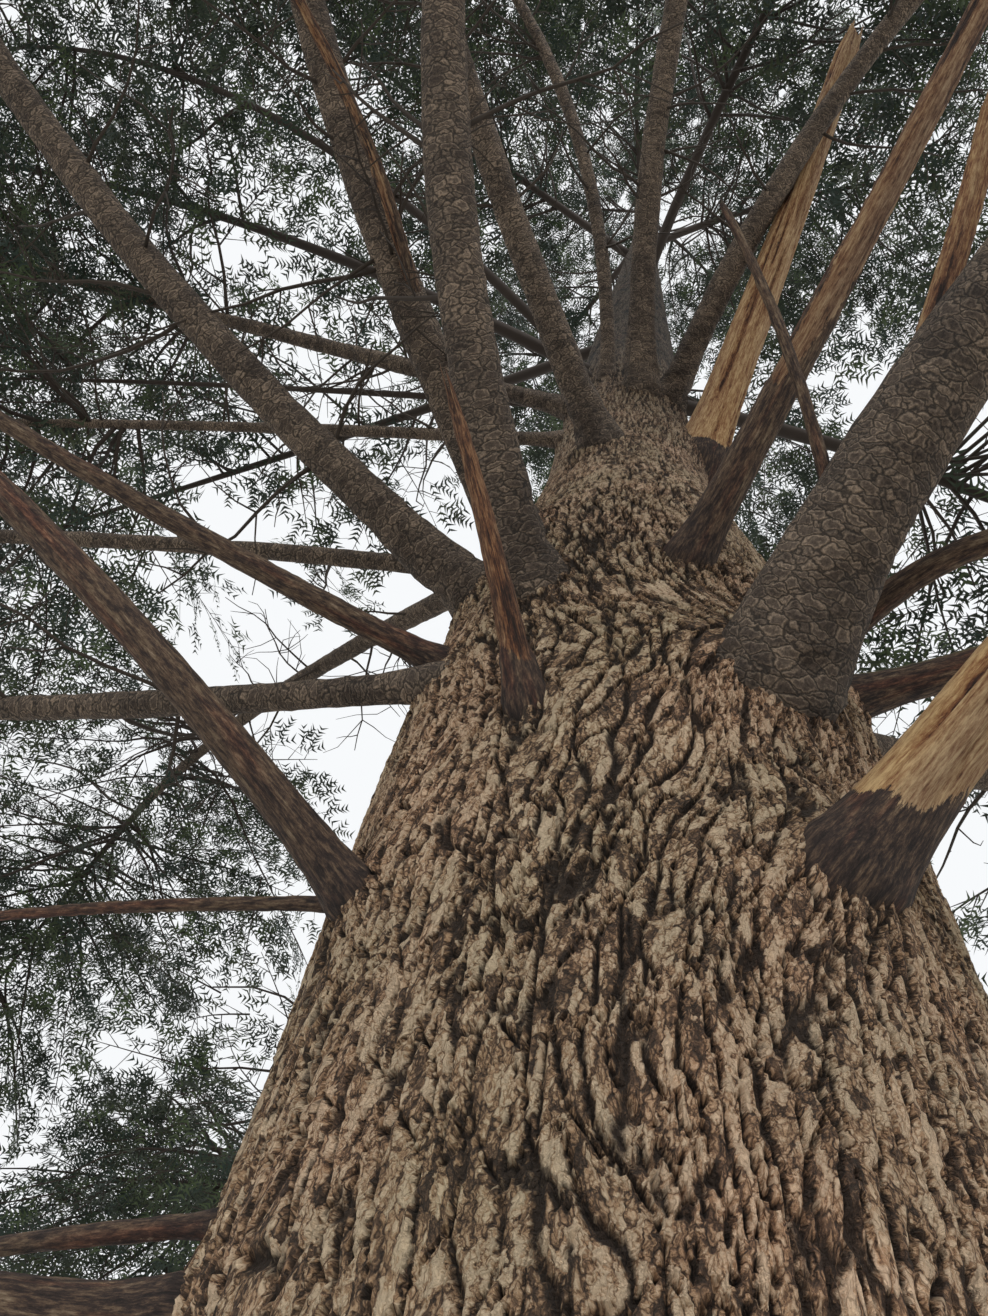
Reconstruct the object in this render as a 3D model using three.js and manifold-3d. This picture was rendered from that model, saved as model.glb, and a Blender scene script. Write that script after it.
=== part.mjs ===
// An old eastern hemlock that grew in the open. One heavy trunk stands on a flared root collar.
// Live boughs start low and sweep out and up, broken dead limbs are left between them, and
// drooping foliage hangs round the outside and up the crown to the tip.
// Millimetres, +Z up, origin at the middle of the flat cut at ground level. Angles are in degrees,
// and bearings and headings run anticlockwise from +X as seen from above.
import * as THREE from 'three';
import { mergeVertices } from 'three/addons/utils/BufferGeometryUtils.js';
import Module from 'manifold-3d';

const wasm = await Module();
wasm.setup();

// The trunk: its height, its thickness as a bole below and as a cone above, and its flare and lean.
const TREE_HEIGHT = 22000;
const TIP_RADIUS = 12;
const BOLE_RADIUS = 620;
const BOLE_TAPER = 0.01;
const CONE_RADIUS = 330;
const CONE_FOOT = 6000;
const CONE_POWER = 1.3;
const BOLE_END = 3200;
const CONE_START = 5700;
const FLARE = 330;
const FLARE_HEIGHT = 420;
const BUTTRESSES = 6;
const BUTTRESS_DEPTH = 0.28;
const LEAN = 560;
const LEAN_START = 6000;
const LEAN_POWER = 1.2;
const TRUNK_SIDES = 24;
const TRUNK_RINGS = 20;
const RING_SPACING_POWER = 1.6;

// Clearances: between solids that meet, and between foliage and what it must not touch.
const JOINT_GAP = 0.3;
const FOLIAGE_CLEARANCE = 60;
const NEIGHBOUR_ROOM = 90;
const MERGE_DISTANCE = 0.001;

// Each limb is one tapering tube. It leaves the trunk at a height and bearing, or its parent limb
// at a fraction along it. From there it runs at a heading and rise, which change evenly by turn
// and bend over its length. thick and tip are its diameters at the two ends.
const LIVE_BOUGHS = [
  { name: 'low_left', height: 3450, bearing: 220, heading: 169, turn: 15, rise: 10, bend: 3,
    length: 5400, thick: 74, tip: 36, foliageTurn: 30, foliageBend: -62 },
  { name: 'long_left', height: 4040, bearing: 217, heading: 214, turn: 38, rise: 25, bend: -2,
    length: 4750, thick: 132, tip: 60, foliageTurn: -60, foliageBend: -52 },
  { name: 'mid_left', height: 4530, bearing: 200, heading: 185, turn: -11, rise: 8, bend: -2,
    length: 4500, thick: 66, tip: 34, foliageTurn: -32, foliageBend: -42 },
  { name: 'high_left', height: 6010, bearing: 208, heading: 184, turn: -3, rise: 5, bend: 0,
    length: 3400, thick: 62, tip: 36, foliageTurn: 14, foliageBend: -29 },
  { name: 'upper_left', height: 6460, bearing: 214, heading: 191, turn: 1, rise: 20, bend: 1,
    length: 4600, thick: 96, tip: 52, foliageTurn: -34, foliageBend: -41 },
  { name: 'overhead_left', height: 4310, bearing: 229, heading: 239, turn: 30, rise: 30, bend: 3,
    length: 4300, thick: 142, tip: 70, foliageTurn: -34, foliageBend: -60 },
  { name: 'overhead_inner', height: 3630, bearing: 247, heading: 251, turn: 61, rise: 30, bend: 7,
    length: 4500, thick: 128, tip: 66 },
  { name: 'overhead_back', height: 5290, bearing: 256, heading: 245, turn: 23, rise: 25, bend: 2,
    length: 5300, thick: 126, tip: 56, foliageTurn: 16, foliageBend: -30 },
  { name: 'overhead_slender', height: 6600, bearing: 253, heading: 273, turn: -63, rise: 40, bend: -7,
    length: 4000, thick: 76, tip: 40 },
  { name: 'overhead_middle', height: 6220, bearing: 284, heading: 270, turn: 34, rise: 30, bend: 0,
    length: 4600, thick: 128, tip: 60 },
  { name: 'overhead_right', height: 6300, bearing: 311, heading: 296, turn: 41, rise: 25, bend: -2,
    length: 4500, thick: 122, tip: 58 },
  { name: 'heavy_right', height: 3220, bearing: 298, heading: 298, turn: 71, rise: 25, bend: -13,
    length: 5000, thick: 190, tip: 78 },
  { name: 'rear_right', height: 4100, bearing: 22, heading: 30, turn: -22, rise: 22, bend: -4,
    length: 4700, thick: 128, tip: 60 },
  { name: 'rear_middle', height: 4700, bearing: 66, heading: 72, turn: 20, rise: 26, bend: -8,
    length: 4900, thick: 134, tip: 62 },
  { name: 'rear_left', height: 3800, bearing: 112, heading: 106, turn: 24, rise: 18, bend: 4,
    length: 5000, thick: 118, tip: 56 },
  { name: 'rear_far_left', height: 5500, bearing: 150, heading: 148, turn: -14, rise: 24, bend: -6,
    length: 4600, thick: 112, tip: 54 },
];

const DEAD_LIMBS = [
  { name: 'dead_big_left', height: 2760, bearing: 219, heading: 215, turn: -19, rise: 35, bend: -9,
    length: 2900, thick: 80, tip: 56 },
  { name: 'dead_thin_left', height: 2880, bearing: 204, heading: 170, turn: -14, rise: 10, bend: -4,
    length: 2200, thick: 28, tip: 12 },
  { name: 'dead_slim_left', height: 3540, bearing: 221, heading: 199, turn: 15, rise: 20, bend: 1,
    length: 3800, thick: 64, tip: 20 },
  { name: 'dead_drooping_left', height: 2270, bearing: 205, heading: 161, turn: -29, rise: 5, bend: -18,
    length: 3600, thick: 30, tip: 12 },
  { name: 'stub_low_left', height: 2130, bearing: 205, heading: 182, turn: 4, rise: 0, bend: 3,
    length: 430, thick: 100, tip: 85 },
  { name: 'snag_front', height: 3080, bearing: 252, heading: 252, turn: -5, rise: 45, bend: -1,
    length: 730, thick: 66, tip: 28 },
  { name: 'snag_overhead', height: 5780, bearing: 343, heading: 299, turn: -3, rise: 44, bend: -1,
    length: 2540, thick: 190, tip: 120 },
  { name: 'dead_barkless', height: 3760, bearing: 286, heading: 304, turn: -4, rise: 30, bend: 1,
    length: 3900, thick: 86, tip: 44 },
  { name: 'dead_curved_right', height: 3410, bearing: 313, heading: 300, turn: 142, rise: 10, bend: -33,
    length: 1500, thick: 60, tip: 34 },
  { name: 'dead_mossy_right', height: 3540, bearing: 332, heading: 348, turn: -6, rise: 10, bend: 2,
    length: 2800, thick: 84, tip: 46 },
  { name: 'snag_split_right', height: 2700, bearing: 303, heading: 320, turn: 6, rise: 35, bend: -3,
    length: 1500, thick: 130, tip: 104 },
  { name: 'dead_branch_overhead', parent: 'overhead_left', along: 0.17, heading: 263, turn: -44,
    rise: 15, bend: -5, length: 1880, thick: 50, tip: 26 },
  { name: 'dead_curved_thin', parent: 'heavy_right', along: 0.055, heading: 263, turn: -23,
    rise: 48, bend: 4, length: 910, thick: 30, tip: 18 },
  { name: 'snag_upright_right', parent: 'heavy_right', along: 0.092, heading: 304, turn: -6,
    rise: 50, bend: 1, length: 1200, thick: 70, tip: 66 },
];

const FINE_STEPS = 60;
const BOUGH_SIDES = 6;
const BOUGH_STEPS = 5;
const DEAD_SIDES = 5;
const DEAD_STEPS = 3;
// A limb swells into a collar where it leaves the wood that carries it.
const COLLAR_SWELL = 0.45;
const COLLAR_REACH = 0.8;
const COLLAR_END = 1.6;
const ROOT_SUNK = 2;

// The foliage at the end of each live bough, and the crown that grows from the upper trunk.
const BOUGH_FOLIAGE = { length: 3000, droop: -48, bareShare: 0.04, twigs: 5 };
const CROWN = {
  count: 13, lowest: 7400, highest: 20900, crowding: 0.85, firstBearing: 20, bearingStep: 137.5,
  widestRadius: 6900, widestHeight: 4000, narrowing: 1.45, leastLength: 1000,
  rise: 24, riseGain: 48, droop: -46, bareShare: 0.28, bareShareTop: 0.08,
  twigs: 6, twigsTop: 4, stemRadius: 48, stemShare: 0.42, footSunkShare: 0.5, turn: 12,
};
const STEM_SUNK = 20;
const STEM_TIP_SHARE = 0.35;
const STEM_STEPS = 4;
const FIRST_SEED = 100;
const FIRST_TWIG_PLACE = 0.35;
const TWIG_SIDES = 3;
const TWIG_RADIUS = 22;
const TWIG_TIP_RADIUS = 10;
const TWIG_SPREAD = 44;
const TWIG_SPREAD_EXTRA = 26;
const TWIG_LIFT = 42;
const TWIG_DROOP = -8;
const TWIG_SHARE = 0.5;
const TWIG_SHORTENING = 0.6;
const LONGEST_TWIG = 2300;
const LEAST_TWIG = 0.75;

// A spray of needles is a toothed blade. Each of the six points round its rim lies so far along
// it and so far to its side, both as shares of its length.
const BLADE_SHARE = 0.52;
const LONGEST_BLADE = 1600;
const SHORTEST_BLADE = 560;
const BLADE_ROOM = 0.5;
const BLADE_THICKNESS = 0.035;
const BLADE_MIDDLE = 0.4;
const END_BLADE_SUNK = 0.26;
const SPARSE_FROM = 0.45;
const ROLL_RANGE = 110;
const SIDE_BLADES = [{ share: 0.4, angle: 62 }, { share: 0.75, angle: -62 }];
const BLADE_OUTLINE = [[1, 0], [0.56, 0.18], [0.36, 0.42], [0, 0], [0.36, -0.42], [0.56, -0.18]];

const LIVE_BARK = new THREE.MeshStandardMaterial({ color: 0x6e6358, roughness: 0.95, metalness: 0 });
const TRUNK_BARK = new THREE.MeshStandardMaterial({ color: 0x7a6a5a, roughness: 0.95, metalness: 0 });
const DEAD_WOOD = new THREE.MeshStandardMaterial({ color: 0x94704a, roughness: 0.9, metalness: 0 });
const NEEDLES = new THREE.MeshStandardMaterial({ color: 0x3c4d33, roughness: 0.7, metalness: 0 });

const UP = new THREE.Vector3(0, 0, 1);

function radians(degrees) {
  return THREE.MathUtils.degToRad(degrees);
}

// Random numbers that repeat, one row of them for each seed.
function seeded(seed) {
  let state = seed;
  return () => {
    state = (state * 1664525 + 1013904223) % 4294967296;
    return state / 4294967296;
  };
}

function direction(heading, rise) {
  const flat = Math.cos(radians(rise));
  const turn = radians(heading);
  return new THREE.Vector3(flat * Math.cos(turn), flat * Math.sin(turn), Math.sin(radians(rise)));
}

// Points along a limb whose heading and rise change evenly from its start to its end.
function limbPath(start, limb, steps) {
  const points = [start.clone()];
  for (let step = 0; step < steps; step += 1) {
    const t = (step + 0.5) / steps;
    const way = direction(limb.heading + limb.turn * t, limb.rise + limb.bend * t);
    points.push(points[step].clone().addScaledVector(way, limb.length / steps));
  }
  return points;
}

// Every so many points of a finely stepped path, so that coarse and fine curves end alike.
function everyNth(points, count) {
  return points.filter((point, index) => index % count === 0);
}

function alongPath(points, share) {
  const place = share * (points.length - 1);
  const step = Math.min(Math.floor(place), points.length - 2);
  return points[step].clone().lerp(points[step + 1], place - step);
}

// The trunk is a bole that gives way to a cone, with a lobed flare at the ground.
function trunkRadius(z, angle) {
  const bole = BOLE_RADIUS - BOLE_TAPER * z;
  const coneShare = Math.max(TREE_HEIGHT - z, 0) / (TREE_HEIGHT - CONE_FOOT);
  const cone = TIP_RADIUS + (CONE_RADIUS - TIP_RADIUS) * coneShare ** CONE_POWER;
  const blend = THREE.MathUtils.smoothstep(z, BOLE_END, CONE_START);
  const lobes = 1 + BUTTRESS_DEPTH * Math.cos(BUTTRESSES * angle);
  return bole * (1 - blend) + cone * blend + FLARE * lobes * Math.exp(-z / FLARE_HEIGHT);
}

function trunkLean(z) {
  const share = Math.max(z - LEAN_START, 0) / (TREE_HEIGHT - LEAN_START);
  return LEAN * share ** LEAN_POWER;
}

function trunkPoint(z, angle, extra) {
  const radius = trunkRadius(z, angle) + extra;
  return new THREE.Vector3(trunkLean(z) + radius * Math.cos(angle), radius * Math.sin(angle), z);
}

function toSolid(geometry) {
  geometry.deleteAttribute('normal');
  geometry.deleteAttribute('uv');
  const merged = mergeVertices(geometry, MERGE_DISTANCE);
  return new wasm.Manifold(new wasm.Mesh({
    numProp: 3,
    vertProperties: new Float32Array(merged.attributes.position.array),
    triVerts: new Uint32Array(merged.index.array),
  }));
}

function toMesh(name, solid, material) {
  const { vertProperties, triVerts } = solid.getMesh();
  const geometry = new THREE.BufferGeometry();
  geometry.setAttribute('position', new THREE.BufferAttribute(vertProperties, 3));
  geometry.setIndex(new THREE.BufferAttribute(triVerts, 1));
  geometry.computeVertexNormals();
  const mesh = new THREE.Mesh(geometry, material);
  mesh.name = name;
  return mesh;
}

// The largest single body of a solid, without the scraps that a cut can leave.
function largestBody(solid) {
  const bodies = solid.decompose();
  return bodies.reduce((best, body) => (body.volume() > best.volume() ? body : best));
}

// A closed cylinder whose every vertex is moved to its place on the trunk.
function trunkSolid(extra) {
  const geometry = new THREE.CylinderGeometry(1, 1, 1, TRUNK_SIDES, TRUNK_RINGS);
  const places = geometry.attributes.position;
  for (let index = 0; index < places.count; index += 1) {
    const level = Math.round((places.getY(index) + 0.5) * TRUNK_RINGS) / TRUNK_RINGS;
    const z = TREE_HEIGHT * level ** RING_SPACING_POWER;
    const middle = Math.hypot(places.getX(index), places.getZ(index)) < 0.5;
    const angle = Math.atan2(-places.getZ(index), places.getX(index));
    const point = trunkPoint(z, angle, extra);
    if (middle) {
      point.set(trunkLean(z), 0, z);
    }
    places.setXYZ(index, point.x, point.y, point.z);
  }
  return toSolid(geometry);
}

// A closed tube along points, with a radius at each of them.
function tubeSolid(points, radii, sides) {
  const steps = points.length - 1;
  const geometry = new THREE.CylinderGeometry(1, 1, 1, sides, steps);
  const places = geometry.attributes.position;
  for (let index = 0; index < places.count; index += 1) {
    const step = Math.round((places.getY(index) + 0.5) * steps);
    const before = points[Math.max(step - 1, 0)];
    const after = points[Math.min(step + 1, steps)];
    const along = after.clone().sub(before).normalize();
    const across = along.clone().cross(UP).normalize();
    const over = across.clone().cross(along);
    const radius = radii[step];
    const point = points[step].clone();
    point.addScaledVector(across, radius * places.getX(index));
    point.addScaledVector(over, radius * places.getZ(index));
    places.setXYZ(index, point.x, point.y, point.z);
  }
  return toSolid(geometry);
}

function limbRadius(limb, share) {
  const taper = limb.thick + (limb.tip - limb.thick) * share;
  const collar = Math.exp(-(share * limb.length) / (COLLAR_REACH * limb.thick));
  return (taper / 2) * (1 + COLLAR_SWELL * collar);
}

// The limb's tube starts inside the wood that carries it, so that the cut leaves a snug foot.
function limbSolid(limb, sides, steps, extra) {
  const shares = [0, COLLAR_END * limb.thick / limb.length];
  for (let step = 1; step <= steps; step += 1) {
    shares.push(step / steps);
  }
  const points = shares.map((share) => alongPath(limb.path, share));
  const back = points[0].clone().sub(points[1]).normalize();
  const tail = points[0].clone().addScaledVector(back, ROOT_SUNK * limb.thick);
  const last = points.length - 1;
  const onward = points[last].clone().sub(points[last - 1]).normalize();
  points[last].addScaledVector(onward, extra);
  const radii = [0, ...shares].map((share) => limbRadius(limb, share) + extra);
  return tubeSolid([tail, ...points], radii, sides);
}

const limbs = new Map();

function placeLimb(limb) {
  if (limb.parent) {
    limb.start = alongPath(limbs.get(limb.parent).path, limb.along);
  } else {
    limb.start = trunkPoint(limb.height, radians(limb.bearing), 0);
  }
  limb.path = limbPath(limb.start, limb, FINE_STEPS);
  limbs.set(limb.name, limb);
}

LIVE_BOUGHS.forEach(placeLimb);
DEAD_LIMBS.forEach(placeLimb);

// A foliage stem goes on from its bough's tip, or leaves the upper trunk.
function boughStem(bough) {
  const rise = bough.rise + bough.bend;
  const heading = bough.heading + bough.turn;
  const tip = bough.path[bough.path.length - 1];
  return {
    name: bough.name,
    start: tip.clone().addScaledVector(direction(heading, rise), -STEM_SUNK),
    heading,
    turn: bough.foliageTurn ?? 0,
    rise,
    bend: bough.foliageBend ?? BOUGH_FOLIAGE.droop,
    length: BOUGH_FOLIAGE.length,
    radius: bough.tip / 2,
    bareShare: BOUGH_FOLIAGE.bareShare,
    twigs: BOUGH_FOLIAGE.twigs,
  };
}

function crownStem(index) {
  const level = (index / (CROWN.count - 1)) ** CROWN.crowding;
  const z = CROWN.lowest + (CROWN.highest - CROWN.lowest) * level;
  const bearing = CROWN.firstBearing + CROWN.bearingStep * index;
  const height = (z - CROWN.widestHeight) / (TREE_HEIGHT - CROWN.widestHeight);
  const radius = CROWN.widestRadius * (1 - height ** CROWN.narrowing);
  return {
    name: `crown_${String(index + 1).padStart(2, '0')}`,
    start: trunkPoint(z, radians(bearing), -CROWN.footSunkShare * trunkRadius(z, 0)),
    heading: bearing,
    turn: CROWN.turn,
    rise: CROWN.rise + CROWN.riseGain * level,
    bend: CROWN.droop,
    length: Math.max(radius, CROWN.leastLength),
    radius: Math.min(CROWN.stemRadius, CROWN.stemShare * trunkRadius(z, 0)),
    bareShare: THREE.MathUtils.lerp(CROWN.bareShare, CROWN.bareShareTop, level),
    twigs: Math.round(THREE.MathUtils.lerp(CROWN.twigs, CROWN.twigsTop, level)),
  };
}

const stems = LIVE_BOUGHS.map(boughStem);
for (let index = 0; index < CROWN.count; index += 1) {
  stems.push(crownStem(index));
}
stems.forEach((stem) => {
  stem.path = everyNth(limbPath(stem.start, stem, FINE_STEPS), FINE_STEPS / STEM_STEPS);
});

function distanceToPath(point, path) {
  let least = Infinity;
  const line = new THREE.Line3();
  const nearest = new THREE.Vector3();
  for (let step = 0; step < path.length - 1; step += 1) {
    line.set(path[step], path[step + 1]);
    line.closestPointToPoint(point, true, nearest);
    least = Math.min(least, nearest.distanceTo(point));
  }
  return least;
}

// A mass owns the space that lies nearer to its own stem than to any other, clear of all wood.
function isOwnSpace(point, stem) {
  if (point.z < FOLIAGE_CLEARANCE) {
    return false;
  }
  const fromAxis = Math.hypot(point.x - trunkLean(point.z), point.y);
  if (point.z < TREE_HEIGHT && fromAxis < trunkRadius(point.z, 0) + FOLIAGE_CLEARANCE) {
    return false;
  }
  const own = distanceToPath(point, stem.path);
  for (const other of stems) {
    if (other !== stem && distanceToPath(point, other.path) < own + NEIGHBOUR_ROOM) {
      return false;
    }
  }
  for (const limb of limbs.values()) {
    if (distanceToPath(point, limb.path) < limb.thick / 2 + FOLIAGE_CLEARANCE) {
      return false;
    }
  }
  return true;
}

// A blade lies along its way, turned about it by a roll.
function bladeFrame(root, heading, rise, roll, length) {
  const along = direction(heading, rise);
  const level = along.clone().cross(UP).normalize();
  const across = level.applyAxisAngle(along, radians(roll));
  return { root, along, across, over: across.clone().cross(along), length };
}

function bladeRim(blade) {
  return BLADE_OUTLINE.map(([along, across]) => blade.root.clone()
    .addScaledVector(blade.along, along * blade.length)
    .addScaledVector(blade.across, across * blade.length));
}

function bladeMiddle(blade) {
  return blade.root.clone().addScaledVector(blade.along, BLADE_MIDDLE * blade.length);
}

function bladeSolid(blade) {
  const geometry = new THREE.SphereGeometry(1, BLADE_OUTLINE.length, 2);
  const places = geometry.attributes.position;
  const rim = bladeRim(blade);
  const middle = bladeMiddle(blade);
  for (let index = 0; index < places.count; index += 1) {
    const height = places.getY(index);
    let point = middle.clone().addScaledVector(blade.over, height * BLADE_THICKNESS * blade.length / 2);
    if (Math.abs(height) < 0.5) {
      const turn = Math.atan2(places.getZ(index), places.getX(index)) / (2 * Math.PI);
      const corner = Math.round((turn + 1) * rim.length) % rim.length;
      point = rim[corner];
    }
    places.setXYZ(index, point.x, point.y, point.z);
  }
  return toSolid(geometry);
}

// Twigs leave the stem left and right in turn, and each carries blades to its sides and one at
// its end. Each draws its random numbers whether it is kept or skipped.
function growMass(stem, seed) {
  const random = seeded(seed);
  const bladeLength = THREE.MathUtils.clamp(BLADE_SHARE * stem.length, SHORTEST_BLADE, LONGEST_BLADE);
  const twigs = [];
  const blades = [];
  const tryBlade = (root, heading, rise, roll) => {
    const blade = bladeFrame(root, heading, rise, roll, bladeLength);
    const middle = bladeMiddle(blade);
    if (blades.some((other) => bladeMiddle(other).distanceTo(middle) < BLADE_ROOM * bladeLength)) {
      return;
    }
    const checked = bladeRim(blade).filter((point, corner) => BLADE_OUTLINE[corner][0] > 0);
    if (checked.every((point) => isOwnSpace(point, stem))) {
      blades.push(blade);
    }
  };
  for (let index = 0; index < stem.twigs; index += 1) {
    const share = stem.bareShare + (1 - stem.bareShare) * ((index + FIRST_TWIG_PLACE) / stem.twigs);
    const side = index % 2 ? 1 : -1;
    const spread = side * (TWIG_SPREAD + TWIG_SPREAD_EXTRA * random());
    const lift = TWIG_LIFT * (2 * random() - 1);
    const reach = Math.min(stem.length * TWIG_SHARE, LONGEST_TWIG) * (1 - TWIG_SHORTENING * share);
    const length = Math.max(reach, LEAST_TWIG * bladeLength);
    const heading = stem.heading + stem.turn * share + spread;
    const rise = stem.rise + stem.bend * share + TWIG_DROOP + lift;
    const rolls = [random(), random(), random()].map((draw) => ROLL_RANGE * (draw - 0.5));
    const foot = alongPath(stem.path, share);
    const twig = [foot, foot.clone().addScaledVector(direction(heading, rise), length)];
    if (!isOwnSpace(twig[1], stem)) {
      continue;
    }
    twigs.push(twig);
    const bladeFrom = 1 - END_BLADE_SUNK * bladeLength / length;
    const sideBlades = SIDE_BLADES.slice(0, share < SPARSE_FROM ? 2 : 1);
    sideBlades.forEach(({ share: place, angle }, blade) => {
      tryBlade(alongPath(twig, place * bladeFrom), heading + side * angle, rise, rolls[blade]);
    });
    tryBlade(alongPath(twig, bladeFrom), heading, rise, rolls[2]);
  }
  const tipShare = 1 - END_BLADE_SUNK * bladeLength / stem.length;
  const tipRoll = ROLL_RANGE * (random() - 0.5);
  tryBlade(alongPath(stem.path, tipShare), stem.heading + stem.turn, stem.rise + stem.bend, tipRoll);
  return { twigs, blades };
}

function massSolid(stem, seed) {
  const { twigs, blades } = growMass(stem, seed);
  const tipRadius = stem.radius * STEM_TIP_SHARE;
  const radii = stem.path.map(
    (point, step) => THREE.MathUtils.lerp(stem.radius, tipRadius, step / STEM_STEPS),
  );
  const pieces = [tubeSolid(stem.path, radii, TWIG_SIDES)];
  twigs.forEach((twig) => pieces.push(tubeSolid(twig, [TWIG_RADIUS, TWIG_TIP_RADIUS], TWIG_SIDES)));
  blades.forEach((blade) => pieces.push(bladeSolid(blade)));
  return wasm.Manifold.union(pieces);
}

const tree = new THREE.Group();
tree.add(toMesh('trunk', trunkSolid(0), TRUNK_BARK));

// Each new solid is cut clear of the trunk and of every limb that stands already.
const standing = [trunkSolid(JOINT_GAP)];

function addClear(name, solid, material) {
  const rest = standing.reduce((left, wood) => left.subtract(wood), solid);
  tree.add(toMesh(name, largestBody(rest), material));
}

function addLimb(limb, name, material, sides, steps) {
  addClear(name, limbSolid(limb, sides, steps, 0), material);
  standing.push(limbSolid(limb, sides, steps, JOINT_GAP));
}

LIVE_BOUGHS.forEach((bough) => addLimb(bough, `bough_${bough.name}`, LIVE_BARK, BOUGH_SIDES, BOUGH_STEPS));
DEAD_LIMBS.forEach((limb) => addLimb(limb, limb.name, DEAD_WOOD, DEAD_SIDES, DEAD_STEPS));

stems.forEach((stem, index) => {
  addClear(`foliage_${stem.name}`, massSolid(stem, FIRST_SEED + index), NEEDLES);
});

export default tree;
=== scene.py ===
import math
from collections import namedtuple

import bmesh
import bpy
import numpy as np
from mathutils import Matrix, Vector


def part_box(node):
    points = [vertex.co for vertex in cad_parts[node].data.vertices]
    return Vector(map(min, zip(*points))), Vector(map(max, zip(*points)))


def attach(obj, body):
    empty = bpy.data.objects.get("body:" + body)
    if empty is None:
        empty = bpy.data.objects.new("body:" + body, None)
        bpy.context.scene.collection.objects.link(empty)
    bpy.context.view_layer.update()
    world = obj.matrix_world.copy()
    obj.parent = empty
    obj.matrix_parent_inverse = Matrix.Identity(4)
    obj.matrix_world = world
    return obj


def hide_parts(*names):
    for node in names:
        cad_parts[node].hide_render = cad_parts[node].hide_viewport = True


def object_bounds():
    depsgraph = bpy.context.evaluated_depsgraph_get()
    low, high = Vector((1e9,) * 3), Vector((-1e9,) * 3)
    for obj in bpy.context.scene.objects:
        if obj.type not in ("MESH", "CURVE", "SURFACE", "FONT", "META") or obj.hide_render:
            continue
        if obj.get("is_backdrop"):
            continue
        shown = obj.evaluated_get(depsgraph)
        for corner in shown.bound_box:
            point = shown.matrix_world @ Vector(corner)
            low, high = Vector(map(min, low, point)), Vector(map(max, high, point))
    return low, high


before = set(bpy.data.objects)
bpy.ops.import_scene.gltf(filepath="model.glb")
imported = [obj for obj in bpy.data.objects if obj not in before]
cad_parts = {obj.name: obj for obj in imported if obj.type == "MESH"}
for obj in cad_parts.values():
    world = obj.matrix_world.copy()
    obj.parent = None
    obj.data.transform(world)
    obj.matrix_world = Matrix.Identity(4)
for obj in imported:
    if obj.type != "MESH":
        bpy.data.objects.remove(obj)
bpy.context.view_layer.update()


# The camera is held at eye height a step in front of the trunk and tilted steeply up.
# Upright lines meet at the zenith's place in the picture, which gives its pitch and roll.
PICTURE_WIDTH, PICTURE_HEIGHT = 988, 1316
FOCAL_PIXELS = 989
ZENITH = (620, 100)
FACING = math.radians(15.4)
EYE = Vector((0, -1.5, 1.55))

ahead = Vector((0, 0, 1))
zenith = Vector((ZENITH[0] - PICTURE_WIDTH / 2, PICTURE_HEIGHT / 2 - ZENITH[1], FOCAL_PIXELS))
zenith.normalize()
level_ahead = (ahead - zenith * zenith.z).normalized()
level_right = zenith.cross(level_ahead)
if level_right.x < 0:
    level_right.negate()
turned = Matrix.Rotation(FACING, 3, "Z")
axes = [
    turned @ Vector((level_right[i], level_ahead[i], 0)) + Vector((0, 0, zenith[i])) for i in range(3)
]
camera = bpy.data.objects.new("camera", bpy.data.cameras.new("camera"))
camera.data.sensor_width = 36
camera.data.lens = 36 * FOCAL_PIXELS / PICTURE_HEIGHT
camera.data.clip_start, camera.data.clip_end = 0.02, 200
placed = Matrix((axes[0], axes[1], -axes[2])).transposed().to_4x4()
placed.translation = EYE
camera.matrix_world = placed
bpy.context.scene.collection.objects.link(camera)
bpy.context.scene.camera = camera
bpy.context.scene.view_settings.view_transform = "Standard"


# The trunk: one old stem with a lobed flare at the ground, a bole, and a slender leaning cone
# above. Its bark is thick and furrowed into long plates of thin flakes, whose grain sweeps in
# towards the foot of every limb. It is modelled as five sleeves, finest at eye level.
TREE_HEIGHT = 22.0
TIP_RADIUS = 0.012
BOLE_RADIUS, BOLE_TAPER = 0.62, 0.01
CONE_RADIUS, CONE_FOOT, CONE_POWER = 0.33, 6.0, 1.3
BOLE_END, CONE_START = 3.2, 5.7
FLARE, FLARE_HEIGHT = 0.33, 0.42
BUTTRESSES, BUTTRESS_DEPTH = 6, 0.28
LEAN, LEAN_START, LEAN_POWER = 0.56, 6.0, 1.2

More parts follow.
